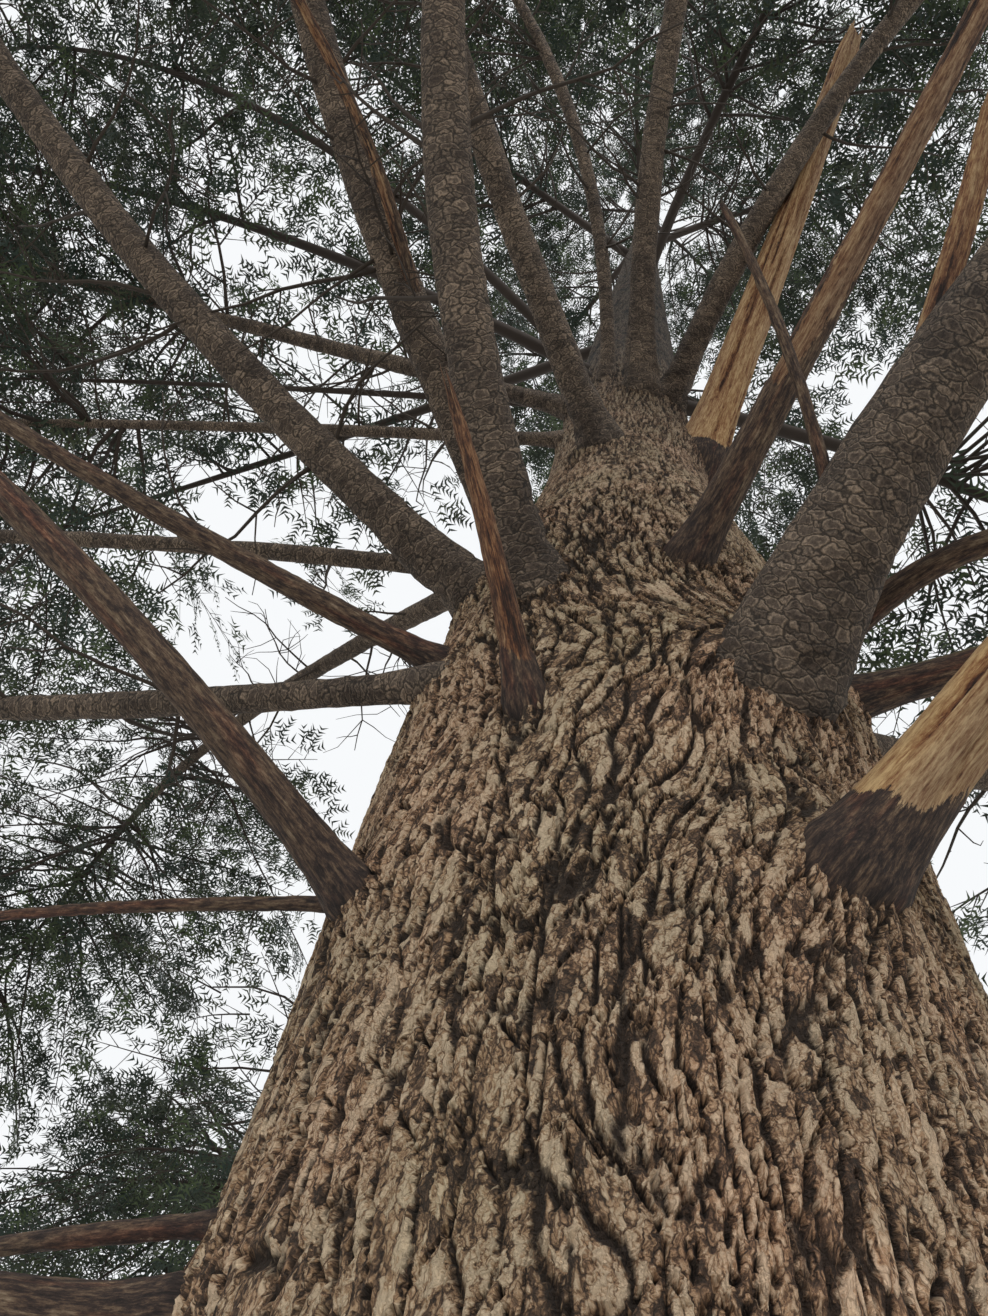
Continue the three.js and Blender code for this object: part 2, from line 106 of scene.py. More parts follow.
# Limbs leave the trunk at a height in metres and a bearing in degrees. Their heading and rise
# change evenly by turn and bend over their length. Live boughs also say how their foliage turns.
Limb = namedtuple("Limb", "name height bearing heading turn rise bend length thick tip")
LIVE_BOUGHS = {
    Limb("low_left", 3.45, 220, 169, 15, 10, 3, 5.4, 0.074, 0.036): (30, -62),
    Limb("long_left", 4.04, 217, 214, 38, 25, -2, 4.75, 0.132, 0.060): (-60, -52),
    Limb("mid_left", 4.53, 200, 185, -11, 8, -2, 4.5, 0.066, 0.034): (-32, -42),
    Limb("high_left", 6.01, 208, 184, -3, 5, 0, 3.4, 0.062, 0.036): (14, -29),
    Limb("upper_left", 6.46, 214, 191, 1, 20, 1, 4.6, 0.096, 0.052): (-34, -41),
    Limb("overhead_left", 4.31, 229, 239, 30, 30, 3, 4.3, 0.142, 0.070): (-34, -60),
    Limb("overhead_inner", 3.63, 247, 251, 61, 30, 7, 4.5, 0.128, 0.066): (0, -48),
    Limb("overhead_back", 5.29, 256, 245, 23, 25, 2, 5.3, 0.126, 0.056): (16, -30),
    Limb("overhead_slender", 6.60, 253, 273, -63, 40, -7, 4.0, 0.076, 0.040): (0, -48),
    Limb("overhead_middle", 6.22, 284, 270, 34, 30, 0, 4.6, 0.128, 0.060): (0, -48),
    Limb("overhead_right", 6.30, 311, 296, 41, 25, -2, 4.5, 0.122, 0.058): (0, -48),
    Limb("heavy_right", 3.22, 298, 298, 71, 25, -13, 5.0, 0.190, 0.078): (0, -48),
    Limb("rear_right", 4.10, 22, 30, -22, 22, -4, 4.7, 0.128, 0.060): (0, -48),
    Limb("rear_middle", 4.70, 66, 72, 20, 26, -8, 4.9, 0.134, 0.062): (0, -48),
    Limb("rear_left", 3.80, 112, 106, 24, 18, 4, 5.0, 0.118, 0.056): (0, -48),
    Limb("rear_far_left", 5.50, 150, 148, -14, 24, -6, 4.6, 0.112, 0.054): (0, -48),
}
DEAD_LIMBS = [
    Limb("dead_big_left", 2.76, 219, 215, -19, 35, -9, 2.9, 0.080, 0.056),
    Limb("dead_thin_left", 2.88, 204, 170, -14, 10, -4, 2.2, 0.028, 0.012),
    Limb("dead_slim_left", 3.54, 221, 199, 15, 20, 1, 3.8, 0.064, 0.020),
    Limb("dead_drooping_left", 2.27, 205, 161, -29, 5, -18, 3.6, 0.030, 0.012),
    Limb("stub_low_left", 2.13, 205, 182, 4, 0, 3, 0.43, 0.100, 0.085),
    Limb("snag_front", 3.08, 252, 252, -5, 45, -1, 0.73, 0.066, 0.028),
    Limb("snag_overhead", 5.78, 343, 299, -3, 44, -1, 2.54, 0.190, 0.120),
    Limb("dead_barkless", 3.76, 286, 304, -4, 30, 1, 3.9, 0.086, 0.044),
    Limb("dead_curved_right", 3.41, 313, 300, 142, 10, -33, 1.5, 0.060, 0.034),
    Limb("dead_mossy_right", 3.54, 332, 348, -6, 10, 2, 2.8, 0.084, 0.046),
    Limb("snag_split_right", 2.70, 303, 320, 6, 35, -3, 1.5, 0.130, 0.104),
]
# These three leave a live bough, at a share of the way along it.
BRANCHED_DEAD_LIMBS = {
    Limb("dead_branch_overhead", None, None, 263, -44, 15, -5, 1.88, 0.050, 0.026): ("overhead_left", 0.17),
    Limb("dead_curved_thin", None, None, 263, -23, 48, 4, 0.91, 0.030, 0.018): ("heavy_right", 0.055),
    Limb("snag_upright_right", None, None, 304, -6, 50, 1, 1.2, 0.070, 0.066): ("heavy_right", 0.092),
}
trunk_limbs = [*LIVE_BOUGHS, *DEAD_LIMBS]


def trunk_radius(height, angle):
    bole = BOLE_RADIUS - BOLE_TAPER * height
    share = np.maximum(TREE_HEIGHT - height, 0) / (TREE_HEIGHT - CONE_FOOT)
    cone = TIP_RADIUS + (CONE_RADIUS - TIP_RADIUS) * share**CONE_POWER
    blend = np.clip((height - BOLE_END) / (CONE_START - BOLE_END), 0, 1)
    blend = blend * blend * (3 - 2 * blend)
    lobes = 1 + BUTTRESS_DEPTH * np.cos(BUTTRESSES * angle)
    return bole * (1 - blend) + cone * blend + FLARE * lobes * np.exp(-height / FLARE_HEIGHT)


def trunk_lean(height):
    share = np.maximum(height - LEAN_START, 0) / (TREE_HEIGHT - LEAN_START)
    return LEAN * share**LEAN_POWER


def scatter(x, y, z):
    """A share from 0 to 1 that is fixed for each whole-numbered place."""
    mixed = np.sin(x * 127.1 + y * 311.7 + z * 74.7) * 43758.5453
    return mixed - np.floor(mixed)


def rough(x, y, z):
    """Smooth uneven values from -1 to 1, about one bump to each unit."""
    whole = [np.floor(part) for part in (x, y, z)]
    share = [part - low for part, low in zip((x, y, z), whole)]
    share = [part * part * (3 - 2 * part) for part in share]
    total = 0
    for corner in np.ndindex(2, 2, 2):
        weight = 1
        for step, part in zip(corner, share):
            weight = weight * (part if step else 1 - part)
        total = total + weight * scatter(*(low + step for low, step in zip(whole, corner)))
    return 2 * total - 1


SCATTERED = 0.85


def cracks(across, along, columns, width, length, seed):
    """Cells scattered round a stem, which close after so many columns. Gives the distance in
    metres to the nearest crack between two cells, a share that is fixed for each cell, and how
    far the crack parts cells that lie side by side."""
    first = [np.full_like(across, 9.0), across * 0, across * 0, across * 0]
    second = [np.full_like(across, 9.0), across * 0, across * 0, across * 0]
    column, row = np.floor(across), np.floor(along)
    for step in np.ndindex(3, 3):
        a, b = column + step[0] - 1, row + step[1] - 1
        to_a = a + 0.5 + SCATTERED * (scatter(a % columns, b, seed) - 0.5) - across
        to_b = b + 0.5 + SCATTERED * (scatter(a % columns, b, seed + 1) - 0.5) - along
        found = [np.hypot(to_a, to_b), to_a, to_b, scatter(a % columns, b, seed + 2)]
        nearest = found[0] < first[0]
        next_nearest = found[0] < second[0]
        for index in range(4):
            held = np.where(next_nearest, found[index], second[index])
            second[index] = np.where(nearest, first[index], held)
            first[index] = np.where(nearest, found[index], first[index])
    between_a, between_b = second[1] - first[1], second[2] - first[2]
    apart = np.hypot(between_a, between_b) + 1e-9
    cell_units = (second[0] ** 2 - first[0] ** 2) / (2 * apart)
    slope = np.hypot(between_a / apart / width, between_b / apart / length)
    return cell_units / slope, first[3], np.abs(between_a) / apart


def ease(value, low, high):
    share = np.clip((value - low) / (high - low), 0, 1)
    return share * share * (3 - 2 * share)


# Bark plates are about 36 mm wide and 150 mm long on the bole, and longer above. Each has thin
# flakes, three abreast. The sizes below are metres on the bole, and shrink with the girth.
PLATES_ROUND = 104
PLATE_ASPECT, ASPECT_GAIN, ASPECT_FROM, ASPECT_RANGE = 4.2, 2.2, 3.2, 4
FLAKES_TO_PLATE, FLAKE_SHORTER = 3, 1.25
FURROW, FRAYING, FLAKE_EDGE = 0.0055, 0.0015, 0.003
BARK_DEPTH, BARK_MIDDLE = 0.019, 0.7
LUMP, CRUMB, FINE_GRAIN = 0.006, 0.0012, 0.0008
GRAIN_PULL, GRAIN_REACH = 3.2, 2.7
PULL_LOSS, LOSS_FROM, LOSS_TO = 0.85, 3.0, 3.9
COLLAR_SWELL, COLLAR_WIDTH = 0.24, 0.95
SHADE_WIDTH = 0.95
BETWEEN_LOBES = 0.26

levels = np.linspace(0, TREE_HEIGHT + 1, 2301)
aspects = PLATE_ASPECT + ASPECT_GAIN * np.clip(levels - ASPECT_FROM, 0, ASPECT_RANGE)
girths = 2 * math.pi * np.maximum(trunk_radius(levels, BETWEEN_LOBES), 0.05)
plate_lengths = girths / PLATES_ROUND * aspects
plates_up = np.concatenate([[0], np.cumsum(np.diff(levels) / plate_lengths[1:])])


def trunk_bark(angle, height):
    """How far the bark stands out from the plain trunk, in metres, with its colour attributes."""
    girth = trunk_radius(height, angle)
    turn, collar, shade = angle.copy(), angle * 0, angle * 0
    pull = GRAIN_PULL * (1 - PULL_LOSS * ease(height, LOSS_FROM, LOSS_TO))
    for limb in trunk_limbs:
        bearing = math.radians(limb.bearing)
        across = (np.mod(angle - bearing + math.pi, 2 * math.pi) - math.pi) * girth
        up = height - limb.height
        away = np.hypot(across, up) / limb.thick
        near = away < 3 * GRAIN_REACH
        across, up, away = across[near], up[near], away[near]
        fade = np.exp(-((away / GRAIN_REACH) ** 2))
        swing = np.mod(np.arctan2(up, across) - math.pi / 2, 2 * math.pi) - math.pi
        turn[near] += pull[near] * limb.thick**2 / BOLE_RADIUS * fade * swing
        swell = COLLAR_SWELL * limb.thick * np.exp(-((away / COLLAR_WIDTH) ** 2))
        collar[near] = np.maximum(collar[near], swell)
        # The bark is painted darker round the foot of every limb: painted shade where the limb meets the
        # trunk.
        shade[near] = np.maximum(shade[near], np.exp(-((away / SHADE_WIDTH) ** 2)))
    # The plates' columns wind a little from side to side, and their ends are uneven.
    size = girth / BOLE_RADIUS
    across = turn / (2 * math.pi) * PLATES_ROUND
    along = np.interp(height, levels, plates_up)
    ring = PLATES_ROUND / (2 * math.pi)
    x, y = np.cos(turn) * ring, np.sin(turn) * ring
    across = across + 1.7 * rough(x * 0.25, y * 0.25, along * 0.5)
    across = across + 0.5 * rough(x * 0.8, y * 0.8, along * 1.4 + 7)
    along = along + 0.3 * rough(x * 0.5 + 9, y * 0.5, along * 0.7)
    width = 2 * math.pi * girth / PLATES_ROUND
    length = width * np.interp(height, levels, aspects)
    to_furrow, plate, beside = cracks(across, along, PLATES_ROUND, width, length, 1.0)
    flake_columns = PLATES_ROUND * FLAKES_TO_PLATE
    to_edge, flake, _ = cracks(
        across * FLAKES_TO_PLATE + 0.4 * rough(x * 2, y * 2, along * 4),
        along * FLAKES_TO_PLATE * FLAKE_SHORTER,
        flake_columns, width / FLAKES_TO_PLATE, length / FLAKES_TO_PLATE / FLAKE_SHORTER, 5.0,
    )
    # Furrows run between plates that lie side by side, and braid into each other over the plates.
    ragged = rough(x * 4, y * 4, along * 6)
    braid = np.abs(rough(x * 0.42, y * 0.42, along * 0.30) + 0.10 * ragged)
    finer_braid = np.abs(rough(x * 0.95 + 3, y * 0.95, along * 0.75) + 0.12 * ragged)
    deep = ease(rough(x * 0.4, y * 0.4 + 5, along * 0.45), -0.5, 0.4)
    to_plate = to_furrow / size / (0.35 + 0.65 * beside * (0.45 + 0.55 * deep))
    braided = 0.16 * braid / (0.25 + ease(rough(x * 0.2 + 5, y * 0.2, along * 0.2), -0.7, 0))
    away = np.minimum(np.minimum(to_plate, braided), 0.05 * finer_braid + 0.0012)
    low_part = 1 - ease(away + FRAYING * ragged, 0.0005, FURROW)
    leaf = ease(to_edge / size + ragged * FRAYING, 0, FLAKE_EDGE)
    height_share = (1 - low_part) * (0.68 + 0.08 * plate + 0.24 * leaf * flake)
    lumps = LUMP * rough(x * 0.12, y * 0.12, height * 1.4) * ease(height, 0, 0.4)
    crumbs = scatter(np.round(x * 40), np.round(y * 40), np.round(along * 40)) - 0.5
    grain = FINE_GRAIN * rough(x * 7, y * 7, along * 9) + CRUMB * crumbs + FINE_GRAIN * ragged
    relief = (BARK_DEPTH * (height_share - BARK_MIDDLE) + grain + lumps) * size + collar
    colours = {
        "furrow": away,
        "depth": height_share,
        # This is the flakes' and plates' own random tone, less the painted shade round the limb feet.
        "tone": 0.5 * flake + 0.5 * plate - 0.9 * shade,
        "grain": np.stack([np.cos(turn) * BOLE_RADIUS, np.sin(turn) * BOLE_RADIUS, along * 0.15], -1),
    }
    return relief, colours


def closed_sleeve(name, sides, rings, smooth=True):
    """A closed upright cylinder of quads, one unit in radius and height, ready to be shaped."""
    form = bmesh.new()
    bmesh.ops.create_grid(form, x_segments=sides, y_segments=rings, size=0.5)
    for vertex in form.verts:
        turn = 2 * math.pi * (vertex.co.x + 0.5)
        vertex.co = (math.cos(turn), math.sin(turn), vertex.co.y + 0.5)
    bmesh.ops.remove_doubles(form, verts=[v for v in form.verts if v.is_boundary], dist=1e-6)
    bmesh.ops.holes_fill(form, edges=[e for e in form.edges if e.is_boundary], sides=0)
    bmesh.ops.recalc_face_normals(form, faces=form.faces)
    for face in form.faces:
        face.smooth = smooth and len(face.verts) == 4
    mesh = bpy.data.meshes.new(name)
    form.to_mesh(mesh)
    form.free()
    return mesh


def get_places(mesh):
    places = np.empty(len(mesh.vertices) * 3, np.float32)
    mesh.vertices.foreach_get("co", places)
    return places.reshape(-1, 3).astype(float)


def set_places(mesh, places, colours):
    """Moves a mesh's points, and gives them the attributes that its material reads."""
    mesh.vertices.foreach_set("co", places.astype(np.float32).ravel())
    for name, values in colours.items():
        kind, key = ("FLOAT_VECTOR", "vector") if values.ndim == 2 else ("FLOAT", "value")
        layer = mesh.attributes.new(name, kind, "POINT")
        layer.data.foreach_set(key, values.astype(np.float32).ravel())
    mesh.update()


def finish_piece(mesh, material, nodes):
    """Makes a mesh a piece of the tree, with its finish and the solids that it stands for."""
    piece = bpy.data.objects.new(mesh.name, mesh)
    bpy.context.scene.collection.objects.link(piece)
    mesh.materials.append(material)
    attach(piece, "root")
    if nodes:
        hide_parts(*nodes)


def linear(code):
    """An sRGB hex colour as the linear values that a shader takes."""
    parts = [int(code[i:i + 2], 16) / 255 for i in (1, 3, 5)]
    return (*[p / 12.92 if p <= 0.04045 else ((p + 0.055) / 1.055) ** 2.4 for p in parts], 1.0)


def add(tree, kind, inputs=None, stops=(), take=0, **settings):
    """Adds a node with its settings. Its inputs are values, or the outputs that feed them. Gives
    one of its own outputs, by name or place."""
    made = tree.nodes.new("ShaderNode" + kind)
    for name, value in settings.items():
        setattr(made, name, value)
    for place, (position, code) in enumerate(stops):
        ramp = made.color_ramp.elements
        stop = ramp[place] if place < 2 else ramp.new(position)
        stop.position, stop.color = position, linear(code)
    for socket, value in (inputs or {}).items():
        if isinstance(value, bpy.types.NodeSocket):
            tree.links.new(value, made.inputs[socket])
        else:
            made.inputs[socket].default_value = value
    return made.outputs[take]


def new_material(name, roughness, code=None):
    material = bpy.data.materials.new(name)
    material.use_nodes = True
    tree = material.node_tree
    skin = tree.nodes["Principled BSDF"]
    skin.inputs["Roughness"].default_value = roughness
    if code:
        skin.inputs["Base Color"].default_value = linear(code)
    return material, tree, skin


# Old hemlock bark, grown and weathered: near-black in the furrows, grey-brown on the plates and
# pale pinkish tan where a thin flake has fallen. Dull, so it is rough all over. Its flakes are
# 16 mm wide and 37 mm long, the chips on them 7 mm wide and the crumbs 4 mm.
bark, tree, skin = new_material("old_hemlock_bark", 0.92)
furrow, depth, tone = [
    add(tree, "Attribute", take="Fac", attribute_name=name) for name in ("furrow", "depth", "tone")
]
grain = add(tree, "Attribute", take="Vector", attribute_name="grain")
where = add(tree, "TexCoord", take="Object")
waver = add(tree, "TexNoise", {"Vector": grain, "Scale": 85.0, "Detail": 3.0}, take="Color")
wavered = add(tree, "VectorMath", {
    0: waver, 1: (0.016, 0.016, 0.024), 2: grain,
}, operation="MULTIPLY_ADD")
stretched = add(tree, "Mapping", {"Vector": wavered, "Scale": (1, 1, 0.42)})
crumbs = add(tree, "TexNoise", {"Vector": wavered, "Scale": 230.0, "Detail": 5.0, "Roughness": 0.8})
flecks = add(tree, "TexNoise", {"Vector": stretched, "Scale": 62.0, "Detail": 6.0, "Roughness": 0.72})
patches = add(tree, "TexNoise", {"Vector": where, "Scale": 3.2, "Detail": 3.0})
shares, joints = [], []
for scale, joint_width in ((64.0, 0.10), (150.0, 0.22)):
    cells = {"Vector": stretched, "Scale": scale}
    shares.append(add(tree, "SeparateColor", {0: add(tree, "TexVoronoi", cells, take="Color")}))
    edges = add(tree, "TexVoronoi", cells, feature="DISTANCE_TO_EDGE")
    joints.append(add(tree, "MapRange", {0: edges, 2: joint_width}))
(flake_share, chip_share), (joint, chip_joint) = shares, joints
frayed = add(tree, "Math", {0: flecks, 1: 0.016, 2: furrow}, operation="MULTIPLY_ADD")
open_part = add(tree, "MapRange", {0: frayed, 1: 0.0096, 2: 0.0128})
level = -1.78
# The bark's own tone and the painted shade round the limb feet come in with the other sources here.
for source, share in (
    (crumbs, 1.0), (flecks, 1.3), (depth, 0.30), (flake_share, 0.70),
    (chip_share, 0.34), (joint, 0.36), (chip_joint, 0.30), (tone, 0.30),
):
    level = add(tree, "Math", {0: source, 1: share, 2: level}, operation="MULTIPLY_ADD")
base = add(tree, "ValToRGB", {0: level}, stops=[
    (0.05, "#43382e"), (1.0, "#fff0d8"), (0.28, "#5e4d40"), (0.50, "#866f5b"), (0.70, "#d1b292"),
])
dark = add(tree, "Mix", {0: open_part, 6: linear("#463b32"), 7: base}, take=2, data_type="RGBA")
tint = add(tree, "ValToRGB", {0: patches}, stops=[
    (0.3, "#d9cdb4"), (0.7, "#fbdfcb"), (0.5, "#e6d6c2"),
])
tinted = add(tree, "Mix", {
    0: 0.8, 6: dark, 7: tint,
}, take=2, data_type="RGBA", blend_type="MULTIPLY")
# Higher up the bark is painted darker, as painted shade from the needles of the crown.
up = add(tree, "SeparateXYZ", {0: where}, take=2)
crown_shade = add(tree, "MapRange", {0: up, 1: 4.7, 2: 7.4, 3: 1.0, 4: 0.17})
crown_shaded_bark = add(tree, "Mix", {
    0: 1.0, 6: tinted, 7: crown_shade,
}, take=2, data_type="RGBA", blend_type="MULTIPLY")
layers = crumbs
for source, share in (
    (chip_share, 0.9), (flake_share, 1.1), (joint, 0.8), (chip_joint, 0.7), (flecks, 0.6),
    (open_part, 0.9),
):
    layers = add(tree, "Math", {0: source, 1: share, 2: layers}, operation="MULTIPLY_ADD")
bump = add(tree, "Bump", {"Strength": 1.0, "Distance": 0.008, "Height": layers})
tree.links.new(crown_shaded_bark, skin.inputs["Base Color"])
tree.links.new(bump, skin.inputs["Normal"])

# Sleeves of the trunk: from, to, columns and rings. The columns crowd on the side seen closest.
TRUNK_SLEEVES = [
    ("trunk_flare", 0.0, 2.0, 230, 90),
    ("trunk_bole", 2.0, 3.27, 520, 165),
    ("trunk_shoulder", 3.27, 4.55, 520, 165),
    ("trunk_crown_foot", 4.55, 7.0, 240, 160),
    ("trunk_crown", 7.0, TREE_HEIGHT, 60, 260),
]
CLOSE_SIDE, CROWDING = math.radians(-75), 0.36


def trunk_places(turn, height):
    angle = turn - CROWDING * np.sin(turn - CLOSE_SIDE)
    relief, colours = trunk_bark(angle, height)
    radius = np.maximum(trunk_radius(height, angle) + relief, 0.3 * TIP_RADIUS)
    places = np.stack([trunk_lean(height) + radius * np.cos(angle), radius * np.sin(angle), height], -1)
    return places, colours


for index, (name, low, high, sides, rings) in enumerate(TRUNK_SLEEVES):
    mesh = closed_sleeve(name, sides, rings, smooth=False)
    unit = get_places(mesh)
    turn = np.arctan2(unit[:, 1], unit[:, 0])
    step = np.round(unit[:, 2] * rings) / rings
    places, colours = trunk_places(turn, low + (high - low) * step)
    # The ends of two sleeves that meet run through the coarser one's points, so no slit shows.
    for share, level, other in ((0, low, index - 1), (1, high, index + 1)):
        if 0 <= other < len(TRUNK_SLEEVES) and TRUNK_SLEEVES[other][3] < sides:
            coarse = np.linspace(-math.pi, math.pi, TRUNK_SLEEVES[other][3] + 1)
            rim, _ = trunk_places(coarse, np.full_like(coarse, level))
            edge = step == share
            for axis in range(3):
                places[edge, axis] = np.interp(turn[edge], coarse, rim[:, axis])
    set_places(mesh, places, colours)
    finish_piece(mesh, bark, ["trunk"])


# The live boughs: tapering limbs with a swollen collar where they leave the trunk. Their bark
# is thin, in irregular scales with lifted edges. Each is one sleeve drawn along its path, and its
# foot is sunk into the trunk. The scale sizes are of the relief, in metres.
PATH_STEPS = 60
BOUGH_COLLAR, BOUGH_COLLAR_REACH = 0.45, 0.8
ROOT_SUNK = 1.2
SCALE_WIDTH, SCALE_LENGTH = 0.021, 0.024
FOOT_REACH = 2.4
UP = np.array([0.0, 0.0, 1.0])


def direction(heading, rise):
    heading, rise = np.radians(heading), np.radians(rise)
    flat = np.cos(rise)
    return np.stack([flat * np.cos(heading), flat * np.sin(heading), np.sin(rise)], -1)


def limb_path(start, limb):
    """A limb's points, with even steps along its length."""
    middles = (np.arange(PATH_STEPS) + 0.5) / PATH_STEPS
    ways = direction(limb.heading + limb.turn * middles, limb.rise + limb.bend * middles)
    return np.concatenate([[start], start + np.cumsum(ways * limb.length / PATH_STEPS, axis=0)])


def along_path(points, share):
    place = share * (len(points) - 1)
    step = min(int(place), len(points) - 2)
    return points[step] + (points[step + 1] - points[step]) * (place - step)


def seat_on_trunk(limb, depth=1):
    """A limb's place on the trunk, at a share of the way out from its axis to its face."""
    bearing = math.radians(limb.bearing)
    out = depth * trunk_radius(limb.height, bearing)
    lean = trunk_lean(limb.height)
    return np.array([lean + out * math.cos(bearing), out * math.sin(bearing), limb.height])


paths = {limb.name: limb_path(seat_on_trunk(limb), limb) for limb in trunk_limbs}
for limb, (parent, share) in BRANCHED_DEAD_LIMBS.items():
    paths[limb.name] = limb_path(along_path(paths[parent], share), limb)


def limb_places(limb, unit, rings, surface):
    """Lays a unit sleeve along a limb. The surface says how the radius and colours vary."""
    path = paths[limb.name]
    first_way = path[1] - path[0]
    tail = path[0] - first_way / np.linalg.norm(first_way) * ROOT_SUNK * limb.thick
    points = np.concatenate([[tail], path])
    along_points = np.concatenate([[0], np.cumsum(np.linalg.norm(np.diff(points, axis=0), axis=1))])
    along_points -= ROOT_SUNK * limb.thick
    ring = np.round(unit[:, 2] * rings).astype(int)
    stations = np.linspace(along_points[0], along_points[-1], rings + 1)
    centre = np.stack([np.interp(stations, along_points, points[:, axis]) for axis in range(3)], -1)
    way = np.gradient(centre, axis=0)
    way /= np.linalg.norm(way, axis=1)[:, None]
    across = np.cross(UP, way)
    across /= np.linalg.norm(across, axis=1)[:, None]
    over = np.cross(way, across)
    turn = np.arctan2(unit[:, 1], unit[:, 0])
    along = stations[ring]
    share = np.clip(along / limb.length, 0, 1)
    plain = (limb.thick + (limb.tip - limb.thick) * share) / 2
    collar = np.exp(-np.maximum(along, 0) / (BOUGH_COLLAR_REACH * limb.thick))
    plain = plain * (1 + BOUGH_COLLAR * collar)
    radius, forward, colours = surface(limb, turn, along, share, plain)
    places = (
        centre[ring]
        + (radius * np.cos(turn))[:, None] * across[ring]
        + (radius * np.sin(turn))[:, None] * over[ring]
        + forward[:, None] * way[ring]
    )
    return places, colours


def limb_sleeve(name, limb, spacing, stretch, surface):
    """A sleeve along a limb. Its points are a spacing apart round it, and further along it."""
    sides = max(14, round(math.pi * (limb.thick + limb.tip) / 2 / spacing))
    rings = round(limb.length / spacing / stretch)
    mesh = closed_sleeve(name, sides, rings)
    set_places(mesh, *limb_places(limb, get_places(mesh), rings, surface))
    return mesh


def scaly_surface(limb, turn, along, share, plain):
    seed = limb.thick * 991 + limb.length * 37
    x, y = np.cos(turn) * plain / SCALE_WIDTH + seed, np.sin(turn) * plain / SCALE_WIDTH
    z = along / SCALE_LENGTH
    lumps = rough(x * 0.25, y * 0.25, z * 0.12) * 0.06 + rough(x * 0.1, y * 0.1, z * 0.045) * 0.06
    scales = 0.0022 * rough(x * 1.1, y * 1.1, z * 0.9)
    foot = np.exp(-np.maximum(along, 0) / (FOOT_REACH * limb.thick)) * ease(limb.thick, 0.06, 0.12)
    ridges = np.abs(rough(x * 0.6, y * 0.6, z * 0.13) + 0.3 * rough(x * 1.5, y * 1.5, z * 0.5))
    relief = scales + foot * (0.016 * ease(ridges, 0, 0.3) - 0.010)
    colours = {
        "foot": foot * (0.4 + 0.6 * ease(ridges, 0, 0.25)),
        "grain": np.stack([np.cos(turn) * plain, np.sin(turn) * plain, along], -1) + seed,
    }
    return plain * (1 + lumps) + relief, along * 0, colours


# Live bough bark: thin brown-grey scales about 4 cm wide and 2 cm long, with dark joints and pale
# lifted edges. Flecks of 6 mm break it up.
scaly_bark, tree, skin = new_material("scaly_hemlock_bark", 0.9)
grain = add(tree, "Attribute", take="Vector", attribute_name="grain")
foot = add(tree, "Attribute", take="Fac", attribute_name="foot")
where = add(tree, "TexCoord", take="Object")
waver = add(tree, "TexNoise", {"Vector": grain, "Scale": 60.0, "Detail": 3.0}, take="Color")
wavered = add(tree, "VectorMath", {
    0: waver, 1: (0.024, 0.024, 0.020), 2: grain,
}, operation="MULTIPLY_ADD")
shortened = add(tree, "Mapping", {"Vector": wavered, "Scale": (0.62, 0.62, 1.35)})
cells = {"Vector": shortened, "Scale": 40.0}
scale_share = add(tree, "SeparateColor", {0: add(tree, "TexVoronoi", cells, take="Color")})
scale_lift = scale_share.node.outputs[1]
edges = add(tree, "TexVoronoi", cells, feature="DISTANCE_TO_EDGE")
joint = add(tree, "MapRange", {0: edges, 1: 0.02, 2: 0.13, 3: 0.12})
rim = add(tree, "MapRange", {0: edges, 1: 0.10, 2: 0.24, 3: 1.0, 4: 0.0})
flecks = add(tree, "TexNoise", {"Vector": grain, "Scale": 170.0, "Detail": 5.0, "Roughness": 0.75})
patches = add(tree, "TexNoise", {"Vector": where, "Scale": 5.0, "Detail": 3.0})
level = -0.59
for source, share in (
    (flecks, 1.3), (foot, -0.12), (rim, 0.40), (scale_share, 0.26), (patches, 0.6),
):
    level = add(tree, "Math", {0: source, 1: share, 2: level}, operation="MULTIPLY_ADD")
body = add(tree, "ValToRGB", {0: level}, stops=[
    (0.2, "#2a221c"), (1.0, "#a8937e"), (0.46, "#4d4138"), (0.72, "#6e6053"),
])
base = add(tree, "Mix", {0: joint, 6: linear("#1b1512"), 7: body}, take=2, data_type="RGBA")
lifted = flecks
for source, share in ((joint, 0.9), (scale_lift, 0.7)):
    lifted = add(tree, "Math", {0: source, 1: share, 2: lifted}, operation="MULTIPLY_ADD")
bump = add(tree, "Bump", {"Strength": 1.0, "Distance": 0.004, "Height": lifted})
tree.links.new(base, skin.inputs["Base Color"])
tree.links.new(bump, skin.inputs["Normal"])

BOUGH_SPACING, BOUGH_STRETCH = 0.018, 1.15
for limb in LIVE_BOUGHS:
    mesh = limb_sleeve("live_bough_" + limb.name, limb, BOUGH_SPACING, BOUGH_STRETCH, scaly_surface)
    finish_piece(mesh, scaly_bark, ["bough_" + limb.name])


# The dead limbs: broken snags, split and weathered. Where bark is left it is dark and thin.
# Where it is gone the wood shows its long fibres, from grey-pink to orange and yellow tan, and
# the broken ends are drawn out into splinters.

